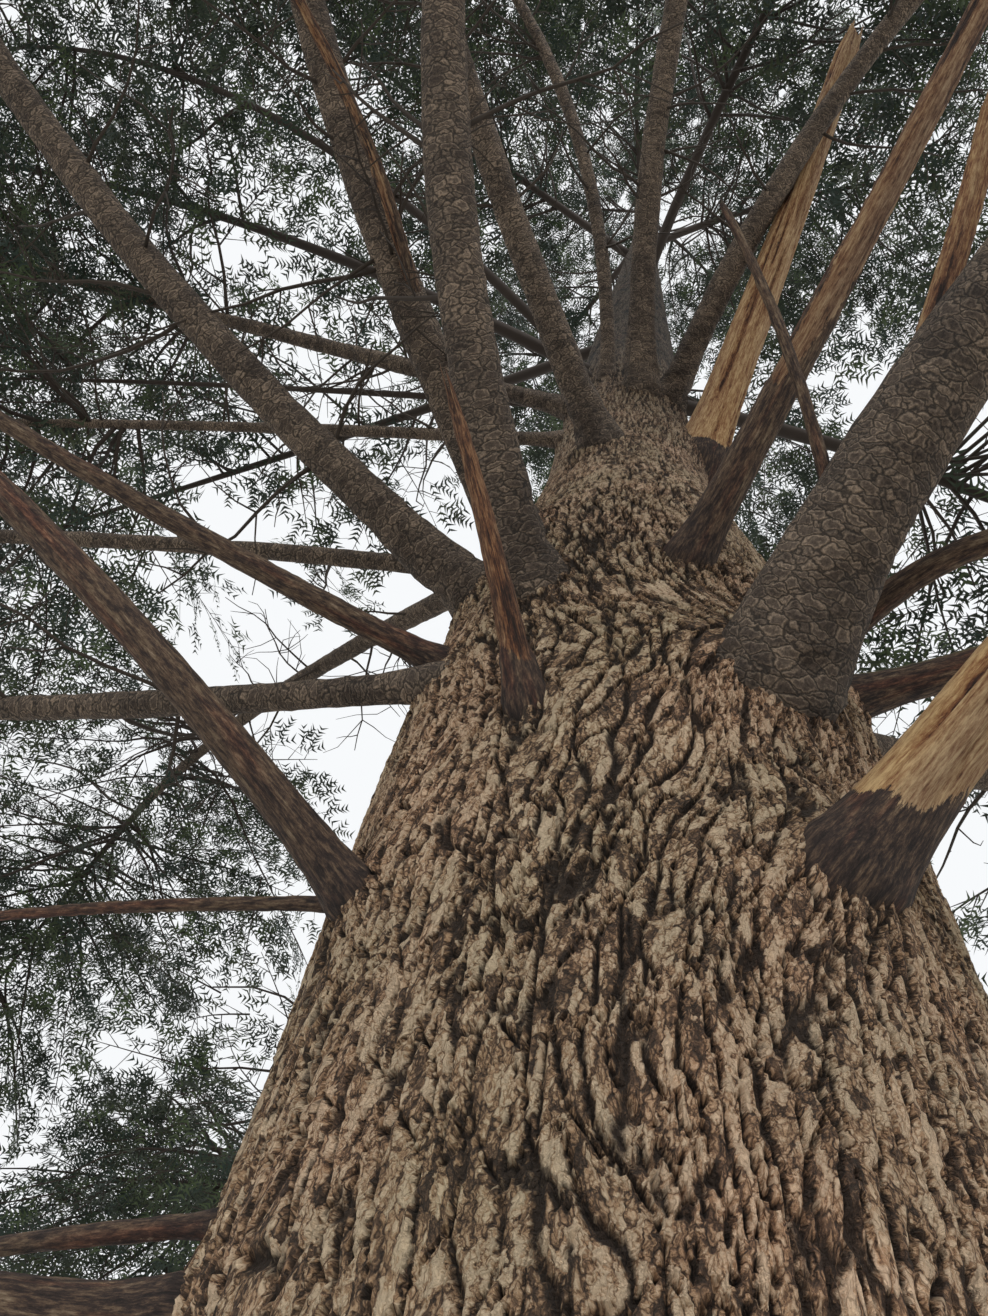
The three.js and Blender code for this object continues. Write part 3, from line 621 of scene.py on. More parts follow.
# Decay says how bare and how warm the wood is, how far in metres bark still covers the foot and
# splinters run back from the end, how flat and grooved the limb is, and how mossy and pale.
Decay = namedtuple("Decay", "bare warmth rooted ragged flat grooves moss pale")
DECAYS = {
    "dead_big_left": Decay(0.10, 0.45, 0.05, 0.20, 0.85, 0.10, 0, 0),
    "dead_thin_left": Decay(0.05, 0.3, 0, 0.02, 1, 0.04, 0, 0),
    "dead_slim_left": Decay(0.22, 0.5, 0.3, 0.05, 1, 0.06, 0, 0),
    "dead_drooping_left": Decay(0.1, 0.1, 0, 0.03, 1, 0.03, 0, 0),
    "stub_low_left": Decay(0.25, 0.5, 0, 0.06, 0.9, 0.10, 0, 0),
    "snag_front": Decay(0.9, 0.62, 0.07, 0.10, 0.85, 0.20, 0, -0.16),
    "snag_overhead": Decay(0.9, 0.75, 0.04, 0.14, 1, 0.22, 0, 0.10),
    "dead_barkless": Decay(0.72, 0.35, 0.45, 0.12, 1, 0.05, 0, 0),
    "dead_curved_right": Decay(0.1, 0.3, 0.1, 0.04, 1, 0.03, 0, 0),
    "dead_mossy_right": Decay(0.15, 0.3, 0, 0.10, 1, 0.06, 1, 0),
    "snag_split_right": Decay(0.8, 0.75, 0.09, 0.20, 0.8, 0.22, 0, 0.12),
    "dead_branch_overhead": Decay(0.5, 0.7, 0.05, 0.10, 0.9, 0.16, 0, -0.05),
    "dead_curved_thin": Decay(0.0, 0.2, 0, 0.03, 1, 0.04, 0, 0),
    "snag_upright_right": Decay(0.75, 0.9, 0.05, 0.15, 0.7, 0.24, 0, -0.02),
}


def dead_surface(limb, turn, along, share, plain):
    decay = DECAYS[limb.name]
    seed = limb.thick * 733 + limb.length * 91
    x, y = np.cos(turn), np.sin(turn)
    bare = rough(x * 1.1 + seed, y * 1.1, along * 1.6) + 0.5 * rough(x * 3 + seed, y * 3, along * 7)
    bare = bare + 3.2 * (decay.bare - 0.5)
    crusted = decay.rooted * (1 + 0.9 * rough(x * 1.5 + seed, y * 1.5, along * 6))
    bare = bare - 2.6 * (1 - ease(along, 0.3 * crusted, 2.2 * crusted + 0.02))
    fibre = rough(x * 4.5 + seed, y * 4.5, along * 2.6) + 0.5 * rough(x * 10 + seed, y * 10, along * 5)
    slit = ease(-fibre, 0.25, 0.9)
    stripped = ease(bare, -0.12, 0.12)
    knobs = 0.05 * rough(x * 0.7 + seed, y * 0.7, along * 9) * (1 - stripped)
    flakes = 0.0018 * rough(x * 6 + seed, y * 6, along * 60)
    radius = plain * (1 + 0.08 * rough(x * 0.8 + seed, y * 0.8, along * 1.5) + knobs) + flakes
    radius = radius + stripped * (decay.grooves * plain * (0.25 * fibre - 0.9 * slit) - 0.004)
    radius = radius * np.hypot(x, y * decay.flat)
    broken = ease(share, 1 - 1.6 * max(decay.ragged, 0.02) / limb.length, 1)
    teeth = rough(x * 2.6 + seed, y * 2.6, share * 0 + 3) + 0.6 * rough(x * 6 + seed, y * 6, share * 0)
    forward = broken * decay.ragged * (0.6 * teeth - 0.45)
    radius = radius * (1 - 0.28 * broken)
    colours = {
        "depth": 1 - slit + decay.pale / 0.42,
        "bare": bare,
        # The crust is darker towards the trunk: painted shade where the limb meets it.
        "foot": np.exp(-np.maximum(along, 0) / (1.6 * limb.thick)),
        "warmth": np.clip(decay.warmth + 0.45 * rough(x * 0.9 + seed, y * 0.9 + 5, along * 1.1), 0, 1),
        "moss": decay.moss * (y + 0.4 * rough(x * 2, y * 2, along * 5)),
        "grain": np.stack([x * plain, y * plain, along], -1) + seed,
    }
    return radius, forward, colours


# Dead hemlock wood, split and weathered without finish: dull, fibrous, stained by old resin. Its
# fibres are drawn 5 mm wide and 75 mm long, its rags of bark 10 mm wide and 40 mm long.
dead_wood, tree, skin = new_material("weathered_dead_hemlock", 0.85)
depth, bare, warmth, moss, foot = [
    add(tree, "Attribute", take="Fac", attribute_name=name)
    for name in ("depth", "bare", "warmth", "moss", "foot")
]
grain = add(tree, "Attribute", take="Vector", attribute_name="grain")
drawn_out = add(tree, "Mapping", {"Vector": grain, "Scale": (1, 1, 0.07)})
half_drawn = add(tree, "Mapping", {"Vector": grain, "Scale": (1, 1, 0.25)})
fibres = add(tree, "TexNoise", {"Vector": drawn_out, "Scale": 190.0, "Detail": 5.0, "Roughness": 0.75})
rags = add(tree, "TexNoise", {"Vector": half_drawn, "Scale": 105.0, "Detail": 6.0, "Roughness": 0.78})
stains = add(tree, "TexNoise", {"Vector": drawn_out, "Scale": 34.0, "Detail": 3.0})
wood_level, crust_level = -1.26, -1.22
for source, share in ((fibres, 1.2), (depth, 0.42), (stains, 0.5), (rags, 1.3)):
    wood_level = add(tree, "Math", {0: source, 1: share, 2: wood_level}, operation="MULTIPLY_ADD")
# The foot term paints shade on the crust near the trunk.
for source, share in ((rags, 2.2), (fibres, 1.3), (foot, -0.18)):
    crust_level = add(tree, "Math", {0: source, 1: share, 2: crust_level}, operation="MULTIPLY_ADD")
warm = add(tree, "ValToRGB", {0: wood_level}, stops=[
    (0.2, "#1d110b"), (1.0, "#d6b482"), (0.42, "#53301e"), (0.58, "#8e5c38"), (0.76, "#b18a5c"),
])
cool = add(tree, "ValToRGB", {0: wood_level}, stops=[
    (0.2, "#1c1512"), (1.0, "#bba48b"), (0.42, "#4a382d"), (0.65, "#7d6451"),
])
brown = add(tree, "ValToRGB", {0: crust_level}, stops=[
    (0.1, "#1c1411"), (1.0, "#a38e78"), (0.4, "#40312a"), (0.6, "#65503f"), (0.78, "#7d6a54"),
])
ruddy = add(tree, "ValToRGB", {0: crust_level}, stops=[
    (0.1, "#1c1210"), (1.0, "#a87f63"), (0.5, "#54352a"), (0.75, "#7d543f"),
])
blotches = add(tree, "MapRange", {0: stains, 1: 0.54, 2: 0.68})
ragged_bare = add(tree, "Math", {0: rags, 1: 2.4, 2: -1.2}, operation="MULTIPLY_ADD")
ragged_bare = add(tree, "Math", {0: ragged_bare, 1: bare}, operation="ADD")
stripped = add(tree, "MapRange", {0: ragged_bare, 1: -0.05, 2: 0.05})
moss_level = add(tree, "Math", {0: rags, 1: 1.5, 2: moss}, operation="MULTIPLY_ADD")
grown_over = add(tree, "MapRange", {0: moss_level, 1: 0.95, 2: 1.3, 4: 0.75})
wood = add(tree, "Mix", {0: warmth, 6: cool, 7: warm}, take=2, data_type="RGBA")
crust = add(tree, "Mix", {0: blotches, 6: brown, 7: ruddy}, take=2, data_type="RGBA")
surface = add(tree, "Mix", {0: stripped, 6: crust, 7: wood}, take=2, data_type="RGBA")
mossy = add(tree, "Mix", {0: grown_over, 6: surface, 7: linear("#5b5a35")}, take=2, data_type="RGBA")
relief = add(tree, "Mix", {0: stripped, 2: rags, 3: fibres})
bump = add(tree, "Bump", {"Strength": 1.0, "Distance": 0.008, "Height": relief})
tree.links.new(mossy, skin.inputs["Base Color"])
tree.links.new(bump, skin.inputs["Normal"])

DEAD_SPACING, DEAD_STRETCH = 0.010, 1.6
for limb in [*DEAD_LIMBS, *BRANCHED_DEAD_LIMBS]:
    mesh = limb_sleeve("weathered_" + limb.name, limb, DEAD_SPACING, DEAD_STRETCH, dead_surface)
    finish_piece(mesh, dead_wood, [limb.name])


# The foliage: from each live bough's tip, and from the upper trunk, a stem carries twigs left and
# right in turn, and flat fans of finer twigs grow on those. Sprays of needles stand on the fans.
# Twigs and needles are joined meshes made from arrays.
STEM_SUNK, STEM_LEGS = 0.020, 4
BOUGH_FOLIAGE_LENGTH, BOUGH_FOLIAGE_BARE, BOUGH_FOLIAGE_TWIGS = 3.0, 0.04, 5
CROWN_STEMS, CROWN_LOWEST, CROWN_HIGHEST, CROWDING_UP = 13, 7.4, 20.9, 0.85
FIRST_BEARING, BEARING_STEP = 20, 137.5
CROWN_SPREAD, SPREAD_FOOT, SPREAD_POWER, LEAST_SPREAD = 6.9, 4, 1.45, 1.0
CROWN_TURN, CROWN_RISE, CROWN_RISE_GAIN, CROWN_BEND = 12, 24, 48, -46
THICKEST_STEM, STEM_TO_TRUNK, STEM_SEAT = 0.048, 0.42, 0.5
CROWN_BARE, CROWN_BARE_LOSS, CROWN_TWIGS, CROWN_TWIG_LOSS = 0.28, 0.2, 6, 2
FOLIAGE_CLEARANCE, NEIGHBOUR_ROOM = 0.06, 0.09
TWIG_SPREAD, TWIG_SPREAD_EXTRA, TWIG_LIFT, TWIG_DROOP = 44, 26, 42, -8
TWIG_SHARE, TWIG_SHORTENING, LONGEST_TWIG, LEAST_TWIG = 0.5, 0.6, 2.3, 0.75
FAN_SHARE, SHORTEST_FAN, LONGEST_FAN = 0.52, 0.56, 1.6
FAN_ROOM, FAN_MIDDLE, END_FAN_SUNK = 0.5, 0.4, 0.26
SPARSE_FROM, ROLL_RANGE = 0.45, 110
SIDE_FANS = [(0.4, 62), (0.75, -62)]
FIRST_SEED, FIRST_TWIG_PLACE = 100, 0.35
FAN_REACH = [(1, 0), (0.56, 0.18), (0.36, 0.42), (0.36, -0.42), (0.56, -0.18)]
Stem = namedtuple("Stem", "name heading turn rise bend length radius bare_share twigs path line")
Fan = namedtuple("Fan", "root along across over length")


def make_stem(start, *shape):
    """A stem with its path in a few straight legs, as in the solids, and its smoother line."""
    stem = Stem(*shape, path=None, line=None)
    line = limb_path(start, stem)
    return stem._replace(path=line[::PATH_STEPS // STEM_LEGS], line=line)


stems = []
for limb, (foliage_turn, foliage_bend) in LIVE_BOUGHS.items():
    heading, rise = limb.heading + limb.turn, limb.rise + limb.bend
    stems.append(make_stem(
        paths[limb.name][-1] - direction(heading, rise) * STEM_SUNK,
        limb.name, heading, foliage_turn, rise, foliage_bend,
        BOUGH_FOLIAGE_LENGTH, limb.tip / 2, BOUGH_FOLIAGE_BARE, BOUGH_FOLIAGE_TWIGS,
    ))
for index in range(CROWN_STEMS):
    level = (index / (CROWN_STEMS - 1)) ** CROWDING_UP
    height = CROWN_LOWEST + (CROWN_HIGHEST - CROWN_LOWEST) * level
    bearing = FIRST_BEARING + BEARING_STEP * index
    higher = (height - SPREAD_FOOT) / (TREE_HEIGHT - SPREAD_FOOT)
    spread = CROWN_SPREAD * (1 - higher**SPREAD_POWER)
    thick = trunk_radius(height, 0)
    out = trunk_radius(height, math.radians(bearing)) - STEM_SEAT * thick
    stems.append(make_stem(
        direction(bearing, 0) * out + np.array([trunk_lean(height), 0, height]),
        f"crown_{index + 1:02d}", bearing, CROWN_TURN, CROWN_RISE + CROWN_RISE_GAIN * level,
        CROWN_BEND, max(spread, LEAST_SPREAD), min(THICKEST_STEM, STEM_TO_TRUNK * thick),
        CROWN_BARE - CROWN_BARE_LOSS * level, round(CROWN_TWIGS - CROWN_TWIG_LOSS * level + 1e-9),
    ))

stem_legs = np.array([[leg for leg in zip(stem.path[:-1], stem.path[1:])] for stem in stems])
limb_legs = np.array([list(zip(path[:-1], path[1:])) for path in paths.values()])
limb_room = np.array([
    limb.thick / 2 + FOLIAGE_CLEARANCE for limb in [*trunk_limbs, *BRANCHED_DEAD_LIMBS]
])


def distance_to_legs(point, legs):
    start, way = legs[..., 0, :], legs[..., 1, :] - legs[..., 0, :]
    share = np.clip(((point - start) * way).sum(-1) / (way * way).sum(-1), 0, 1)
    return np.linalg.norm(point - start - share[..., None] * way, axis=-1).min(-1)


def is_own_space(point, stem_index):
    """A mass owns the space nearer to its own stem than to any other, clear of all wood."""
    if point[2] < FOLIAGE_CLEARANCE:
        return False
    from_axis = math.hypot(point[0] - trunk_lean(point[2]), point[1])
    if point[2] < TREE_HEIGHT and from_axis < trunk_radius(point[2], 0) + FOLIAGE_CLEARANCE:
        return False
    away = distance_to_legs(point, stem_legs)
    if np.delete(away, stem_index).min() < away[stem_index] + NEIGHBOUR_ROOM:
        return False
    return bool((distance_to_legs(point, limb_legs) >= limb_room).all())


def seeded(seed):
    """The solids' own row of random shares, so that the masses branch as theirs do."""
    state = seed
    while True:
        state = (state * 1664525 + 1013904223) % 4294967296
        yield state / 4294967296


def fan_axes(heading, rise, roll):
    """The ways along, across and over a fan that is rolled about its spine."""
    along = direction(heading, rise)
    level = np.cross(along, UP)
    level /= np.linalg.norm(level)
    turn = math.radians(roll)
    across = level * math.cos(turn) + np.cross(along, level) * math.sin(turn)
    return along, across, np.cross(across, along)


def add_fan(fans, root, axes, length, room, reach, may_grow):
    """Adds a fan if it has room between the others and its reach is free."""
    along, across, _ = axes
    middle = root + along * FAN_MIDDLE * length
    others = [fan.root + fan.along * FAN_MIDDLE * fan.length for fan in fans]
    if any(np.linalg.norm(other - middle) < room for other in others):
        return False
    if not all(may_grow(root + (along * a + across * b) * length) for a, b in reach):
        return False
    fans.append(Fan(root, *axes, length))
    return True


def grow_mass(stem_index):
    """The twigs and fans of one mass, by the same seeded rule as its solid."""
    stem = stems[stem_index]
    random = seeded(FIRST_SEED + stem_index)
    fan_length = min(max(FAN_SHARE * stem.length, SHORTEST_FAN), LONGEST_FAN)
    twigs, fans = [], []

    def try_fan(root, *turns):
        add_fan(
            fans, root, fan_axes(*turns), fan_length, FAN_ROOM * fan_length, FAN_REACH,
            lambda point: is_own_space(point, stem_index),
        )

    for index in range(stem.twigs):
        share = stem.bare_share + (1 - stem.bare_share) * (index + FIRST_TWIG_PLACE) / stem.twigs
        side = 1 if index % 2 else -1
        spread = side * (TWIG_SPREAD + TWIG_SPREAD_EXTRA * next(random))
        lift = TWIG_LIFT * (2 * next(random) - 1)
        reach = min(stem.length * TWIG_SHARE, LONGEST_TWIG) * (1 - TWIG_SHORTENING * share)
        length = max(reach, LEAST_TWIG * fan_length)
        heading = stem.heading + stem.turn * share + spread
        rise = stem.rise + stem.bend * share + TWIG_DROOP + lift
        rolls = [ROLL_RANGE * (next(random) - 0.5) for _ in range(3)]
        foot = along_path(stem.path, share)
        end = foot + direction(heading, rise) * length
        if not is_own_space(end, stem_index):
            continue
        twigs.append((along_path(stem.line, share), end))
        fan_from = 1 - END_FAN_SUNK * fan_length / length
        for (place, angle), roll in zip(SIDE_FANS[: 2 if share < SPARSE_FROM else 1], rolls):
            root = foot + (end - foot) * place * fan_from
            try_fan(root, heading + side * angle, rise, roll)
        try_fan(foot + (end - foot) * fan_from, heading, rise, rolls[2])
    tip_share = 1 - END_FAN_SUNK * fan_length / stem.length
    tip_roll = ROLL_RANGE * (next(random) - 0.5)
    tip_heading, tip_rise = stem.heading + stem.turn, stem.rise + stem.bend
    try_fan(along_path(stem.path, tip_share), tip_heading, tip_rise, tip_roll)
    return twigs, fans


# Between the rule's twigs the same kind of twig is carried on, finer, inside the mass's own box,
# and thinly along the outer part of each bough. Each fan is a spine with side twigs, left and
# right in turn, that shorten towards its tip. Sprays of needles stand along the side twigs.
TRIES_TO_METRE, BOUGH_TRIES_TO_METRE = 15, 7
THINNER_OR_DENSER = {
    "crown_01": 1.2, "crown_02": 0.2, "crown_03": 0.7, "crown_04": 0.7, "crown_05": 1.2,
    "rear_left": 2.6, "rear_far_left": 2.2, "rear_right": 1.6,
}
THINNED_BOUGHS = {"thin_upper": 0.55, "thin_curved": 0.55}
BOX_MARGIN, LOWEST_GROWTH, TRUNK_MARGIN = 0.05, 1, 0.5
LAST_TWIG, TWIG_SPREADS, TWIG_RISES, TWIG_LENGTHS = 0.98, (30, 85), (-45, 28), (0.35, 1.2)
FINER_FANS = ((0.25, -60), (0.5, 55), (0.78, -48), (0.95, 0))
FINER_FAN_LENGTHS, FINER_FAN_ROLLS, FINER_FAN_DROOP = (0.42, 0.72), (-40, 40), 8
FINER_FAN_ROOM, SIDE_FAN_WIDEST = 0.23, 1.2
SPINE_POINTS, SPINE_END, SPINE_SWAY = 5, 0.97, 0.03
SIDE_TWIGS_TO_METRE, FEWEST_SIDE_TWIGS, SIDE_TWIG_ANGLES = 15, 5, (42, 66)
SIDE_TWIG_SHARE, SIDE_TWIG_LENGTHS, SIDE_TWIG_DROOP = 0.46, (0.75, 1.08), 0.12
SPRAY_SPACING, SPRAY_ANGLES, SPRAY_DROOP, SPRAY_SIZES = 0.115, (35, 60), 0.20, (0.85, 1.2)
TWIG_POINTS, TWIG_WANDER, SIDE_TWIG_WANDER, TWIG_BOW = 7, 0.03, 0.04, 0.15
SIDE_SIZE, REAR_SIZE, BOUGH_SIZE, CROWN_SIZE = 1.0, 1.3, 1.65, 1.7
FIRST_GREEN_SHARE = {
    "low_left": 0.55, "mid_left": 0.55, "high_left": 0.6, "upper_left": 0.46, "heavy_right": 0.5,
    "rear_right": 0.2, "rear_middle": 0.45, "rear_left": 0.3, "rear_far_left": 0.62,
    "thin_upper": 0.5, "thin_curved": 0.5, "thin_flat": 0.66,
}
USUAL_GREEN_SHARE = 0.66
# Three thin boughs more show high on the left. They carry twigs and needles like the others.
THIN_BOUGHS = [
    Limb("thin_upper", 7.20, 222, 204, -17, 24, 5, 5.2, 0.080, 0.030),
    Limb("thin_curved", 6.77, 232, 226, -43, 28, 5, 5.6, 0.060, 0.024),
    Limb("thin_flat", 6.63, 212, 185, -4, 8, 0, 4.2, 0.040, 0.014),
]
THIN_BOUGH_SEAT = 0.8
for limb in THIN_BOUGHS:
    paths[limb.name] = limb_path(seat_on_trunk(limb, THIN_BOUGH_SEAT), limb)
draw = np.random.default_rng(7)
spines, side_twigs, stem_lines, twig_lines = [], [], [], []
spray_roots, spray_axes, spray_sizes = [], [], []


def inside(point, box, margin):
    return all(box[0][axis] - margin < point[axis] < box[1][axis] + margin for axis in range(3))


def is_clear(point):
    """Clear of the ground, the trunk and every limb."""
    from_axis = math.hypot(point[0] - trunk_lean(point[2]), point[1])
    if point[2] < LOWEST_GROWTH or from_axis < trunk_radius(point[2], 0) + TRUNK_MARGIN:
        return False
    return bool((distance_to_legs(point, limb_legs) >= limb_room).all())


def finer_growth(carrier, line, first_share, tries, widest, may_grow, fans):
    """Twigs along a stem or a bough, each kept where it can carry at least one fan."""
    kept = []
    for _ in range(tries):
        share = draw.uniform(first_share, LAST_TWIG)
        side = draw.choice((-1, 1))
        heading = carrier.heading + carrier.turn * share + side * draw.uniform(*TWIG_SPREADS)
        rise = carrier.rise + carrier.bend * share + draw.uniform(*TWIG_RISES)
        foot = along_path(line, share)
        end = foot + direction(heading, rise) * widest * draw.uniform(*TWIG_LENGTHS)
        if not may_grow(end):
            continue
        grown = 0
        for place, swing in FINER_FANS:
            length = widest * draw.uniform(*FINER_FAN_LENGTHS)
            roll = draw.uniform(*FINER_FAN_ROLLS)
            axes = fan_axes(heading + side * swing, rise - FINER_FAN_DROOP, roll)
            root = foot + (end - foot) * place
            room = FINER_FAN_ROOM * widest
            grown += add_fan(fans, root, axes, length, room, FAN_REACH[:3], may_grow)
        if grown:
            kept.append((foot, end))
    return kept


def grow_fan(root, along, across, over, length, size):
    """The spine and side twigs of a fan, and the sprays on them. A larger size has fewer."""
    shares = np.linspace(0, SPINE_END, SPINE_POINTS)[:, None]
    sway = across * draw.normal(0, SPINE_SWAY) + over * draw.normal(0, SPINE_SWAY)
    spine = root + along * length * shares + sway * length * np.sin(shares * 3.1)
    spines.append(spine)
    count = max(FEWEST_SIDE_TWIGS, round(SIDE_TWIGS_TO_METRE * length / size))
    for index in range(count):
        place = max(0.0, 0.05 + 0.90 * (index + draw.uniform(-0.3, 0.3)) / count)
        side = 1 if index % 2 else -1
        angle = math.radians(draw.uniform(*SIDE_TWIG_ANGLES))
        reach = SIDE_TWIG_SHARE * length * (1 - place) ** 0.75 * min(1, 0.45 + 2.2 * place)
        twig_length = reach * draw.uniform(*SIDE_TWIG_LENGTHS)
        way = along * math.cos(angle) + across * side * math.sin(angle) + over * draw.normal(0, 0.18)
        way /= np.linalg.norm(way)
        foot = along_path(spine, min(place / SPINE_END, 1))
        end = foot + way * twig_length + np.array([0, 0, -SIDE_TWIG_DROOP * twig_length])
        side_twigs.append([foot, end])
        sprays = max(1, round(twig_length / SPRAY_SPACING / size))
        flat = np.cross(over, way)
        for step in range(sprays):
            spot = foot + (end - foot) * (step + 0.7) / sprays
            turned_aside = (1 if step % 2 else -1) * (step < sprays - 1)
            swing = math.radians(draw.uniform(*SPRAY_ANGLES)) * turned_aside
            heading = way * math.cos(swing) + flat * math.sin(swing)
            heading = heading + over * draw.normal(0, 0.25) + np.array([0, 0, -SPRAY_DROOP])
            heading /= np.linalg.norm(heading)
            wide = np.cross(over, heading) + over * draw.normal(0, 0.3)
            wide -= heading * (wide @ heading)
            wide /= np.linalg.norm(wide)
            spray_roots.append(spot)
            spray_axes.append((heading, wide, np.cross(heading, wide)))
            spray_sizes.append(draw.uniform(*SPRAY_SIZES) * size)


def wander(foot, end, amount):
    """A line from foot to end that sways aside by a share of its length, and bows upward."""
    shares = np.linspace(0, 1, TWIG_POINTS)[:, None]
    length = np.linalg.norm(end - foot)
    sway = draw.normal(0, amount, (3, 3)) * length
    waves = np.concatenate([np.sin(shares * math.pi * turns) / turns for turns in (1, 2, 3)], axis=1)
    bow = UP * TWIG_BOW * length * shares * (1 - shares)
    return foot + (end - foot) * shares + waves @ sway + bow


for stem_index, stem in enumerate(stems):
    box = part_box("foliage_" + stem.name)
    tries = round(TRIES_TO_METRE * stem.length * THINNER_OR_DENSER.get(stem.name, 1))
    twigs, fans = grow_mass(stem_index)
    widest = min(max(FAN_SHARE * stem.length, SHORTEST_FAN), LONGEST_FAN)
    twigs += finer_growth(
        stem, stem.line, stem.bare_share, tries, widest,
        lambda point: inside(point, box, BOX_MARGIN) and is_own_space(point, stem_index), fans,
    )
    stem_lines.append((stem.line[::4], stem.radius))
    twig_lines += [wander(foot, end, TWIG_WANDER) for foot, end in twigs]
    size = BOUGH_SIZE if stem_index < len(LIVE_BOUGHS) else CROWN_SIZE
    if stem.name in ("rear_left", "rear_far_left"):
        size = REAR_SIZE
    for fan in fans:
        grow_fan(*fan, size)
for limb in [*LIVE_BOUGHS, *THIN_BOUGHS]:
    first_share = FIRST_GREEN_SHARE.get(limb.name, USUAL_GREEN_SHARE)
    density = THINNED_BOUGHS.get(limb.name, 1)
    tries = round(BOUGH_TRIES_TO_METRE * limb.length * (1 - first_share) * density)
    fans = []
    twigs = finer_growth(
        limb, paths[limb.name], first_share, tries, SIDE_FAN_WIDEST, is_clear, fans,
    )
    twig_lines += [wander(foot, end, SIDE_TWIG_WANDER) for foot, end in twigs]
    for fan in fans:
        grow_fan(*fan, SIDE_SIZE)

# Dead twigs stand along the bare inner boughs: thin, kinked and forked, without needles.
DEAD_TWIGS_TO_METRE = 5.5
DEAD_TWIG_STEPS, DEAD_TWIG_KINK, FORK_STEPS, FORK_KINK = 7, 9, 3, 14
DEAD_TWIGS_FROM, DEAD_SPREADS, DEAD_RISES = 0.12, (25, 95), (-45, 45)
DEAD_LENGTHS, OUTWARD_GAIN = (0.3, 0.7), 0.8
FORKS, FORK_SPREADS, FORK_LENGTHS, FORK_RISE = (3, 8), (30, 75), (0.2, 0.5), 25
dead_lines, dead_forks = [], []


def grow_dead(foot, heading, rise, length, steps, kink):
    line = [foot]
    for _ in range(steps):
        heading += draw.normal(0, kink)
        rise += draw.normal(0, kink)
        line.append(line[-1] + direction(heading, rise) * length / steps)
    return line, heading, rise


for limb in LIVE_BOUGHS:
    for _ in range(round(DEAD_TWIGS_TO_METRE * limb.length)):
        share = draw.uniform(DEAD_TWIGS_FROM, 1.0)
        swing = draw.choice((-1, 1)) * draw.uniform(*DEAD_SPREADS)
        rise = draw.uniform(*DEAD_RISES)
        length = draw.uniform(*DEAD_LENGTHS) + OUTWARD_GAIN * share * draw.random()
        line, heading, rise = grow_dead(
            along_path(paths[limb.name], share), limb.heading + limb.turn * share + swing, rise,
            length, DEAD_TWIG_STEPS, DEAD_TWIG_KINK,
        )
        dead_lines.append(line)
        for _ in range(draw.integers(*FORKS)):
            start = line[draw.integers(1, DEAD_TWIG_STEPS)]
            swing = draw.choice((-1, 1)) * draw.uniform(*FORK_SPREADS)
            fork_length = length * draw.uniform(*FORK_LENGTHS)
            fork_rise = rise + draw.normal(0, FORK_RISE)
            fork, _, _ = grow_dead(
                start, heading + swing, fork_rise, fork_length, FORK_STEPS, FORK_KINK,
            )
            dead_forks.append(fork)


def mesh_from_triangles(name, places, triangles):
    mesh = bpy.data.meshes.new(name)
    mesh.vertices.add(len(places))
    mesh.vertices.foreach_set("co", places.astype(np.float32).ravel())
    mesh.loops.add(triangles.size)
    mesh.loops.foreach_set("vertex_index", triangles.astype(np.int32).ravel())
    mesh.polygons.add(len(triangles))
    mesh.polygons.foreach_set("loop_start", np.arange(0, triangles.size, 3, dtype=np.int32))
    mesh.update(calc_edges=True)
    return mesh


def rods(lines, radii, sides):
    """Closed tapering rods along lines of equally many points."""
    lines = np.array(lines, float)
    radii = np.broadcast_to(radii, lines.shape[:2])
    way = np.gradient(lines, axis=1)
    way /= np.linalg.norm(way, axis=-1, keepdims=True) + 1e-12
    across = np.cross(way, np.array([0.31, 0.17, 0.94]))
    across /= np.linalg.norm(across, axis=-1, keepdims=True) + 1e-12
    over = np.cross(way, across)
    turn = 2 * math.pi * np.arange(sides) / sides
    ring = np.cos(turn)[:, None] * across[:, :, None, :] + np.sin(turn)[:, None] * over[:, :, None, :]
    places = lines[:, :, None, :] + radii[:, :, None, None] * ring
    count, points = lines.shape[:2]
    corner = np.arange(points * sides).reshape(points, sides)
    here, there = corner[:-1], corner[1:]
    here_next, there_next = np.roll(here, -1, axis=1), np.roll(there, -1, axis=1)
    walls = np.concatenate([
        np.stack([here, here_next, there_next], -1).reshape(-1, 3),
        np.stack([here, there_next, there], -1).reshape(-1, 3),
    ])
    cap = np.array([(0, step + 1, step) for step in range(1, sides - 1)])
    last_cap = np.array([(0, step, step + 1) for step in range(1, sides - 1)]) + corner[-1, 0]
    one = np.concatenate([walls, cap, last_cap])
    triangles = (one[None] + (np.arange(count) * points * sides)[:, None, None]).reshape(-1, 3)
    return places.reshape(-1, 3), triangles


def joined(parts):
    """Several sets of points and triangles as one."""
    places, triangles, count = [], [], 0
    for part_places, part_triangles in parts:
        places.append(part_places)
        triangles.append(part_triangles + count)
        count += len(part_places)
    return np.concatenate(places), np.concatenate(triangles)


foliage_nodes = ["foliage_" + stem.name for stem in stems]

# Live twigs: smooth dull brown-grey bark. All rods taper, and their radii here are in metres.
twig_bark, _, _ = new_material("live_hemlock_twig", 0.85, "#3a3029")
taper = np.linspace(1, 0.35, 16)
parts = [
    rods([line for line, _ in stem_lines], [radius * taper for _, radius in stem_lines], 8),
    rods(
        [paths[limb.name] for limb in THIN_BOUGHS],
        [np.linspace(limb.thick, limb.tip, PATH_STEPS + 1) / 2 for limb in THIN_BOUGHS], 12,
    ),
    rods(twig_lines, np.linspace(0.015, 0.005, TWIG_POINTS), 4),
    rods(spines, np.linspace(0.006, 0.0020, SPINE_POINTS), 3),
]
mesh = mesh_from_triangles("live_twigs", *joined(parts))
finish_piece(mesh, twig_bark, foliage_nodes)
mesh = mesh_from_triangles("live_side_twigs", *rods(side_twigs, (0.0034, 0.0015), 3))
finish_piece(mesh, twig_bark, foliage_nodes)

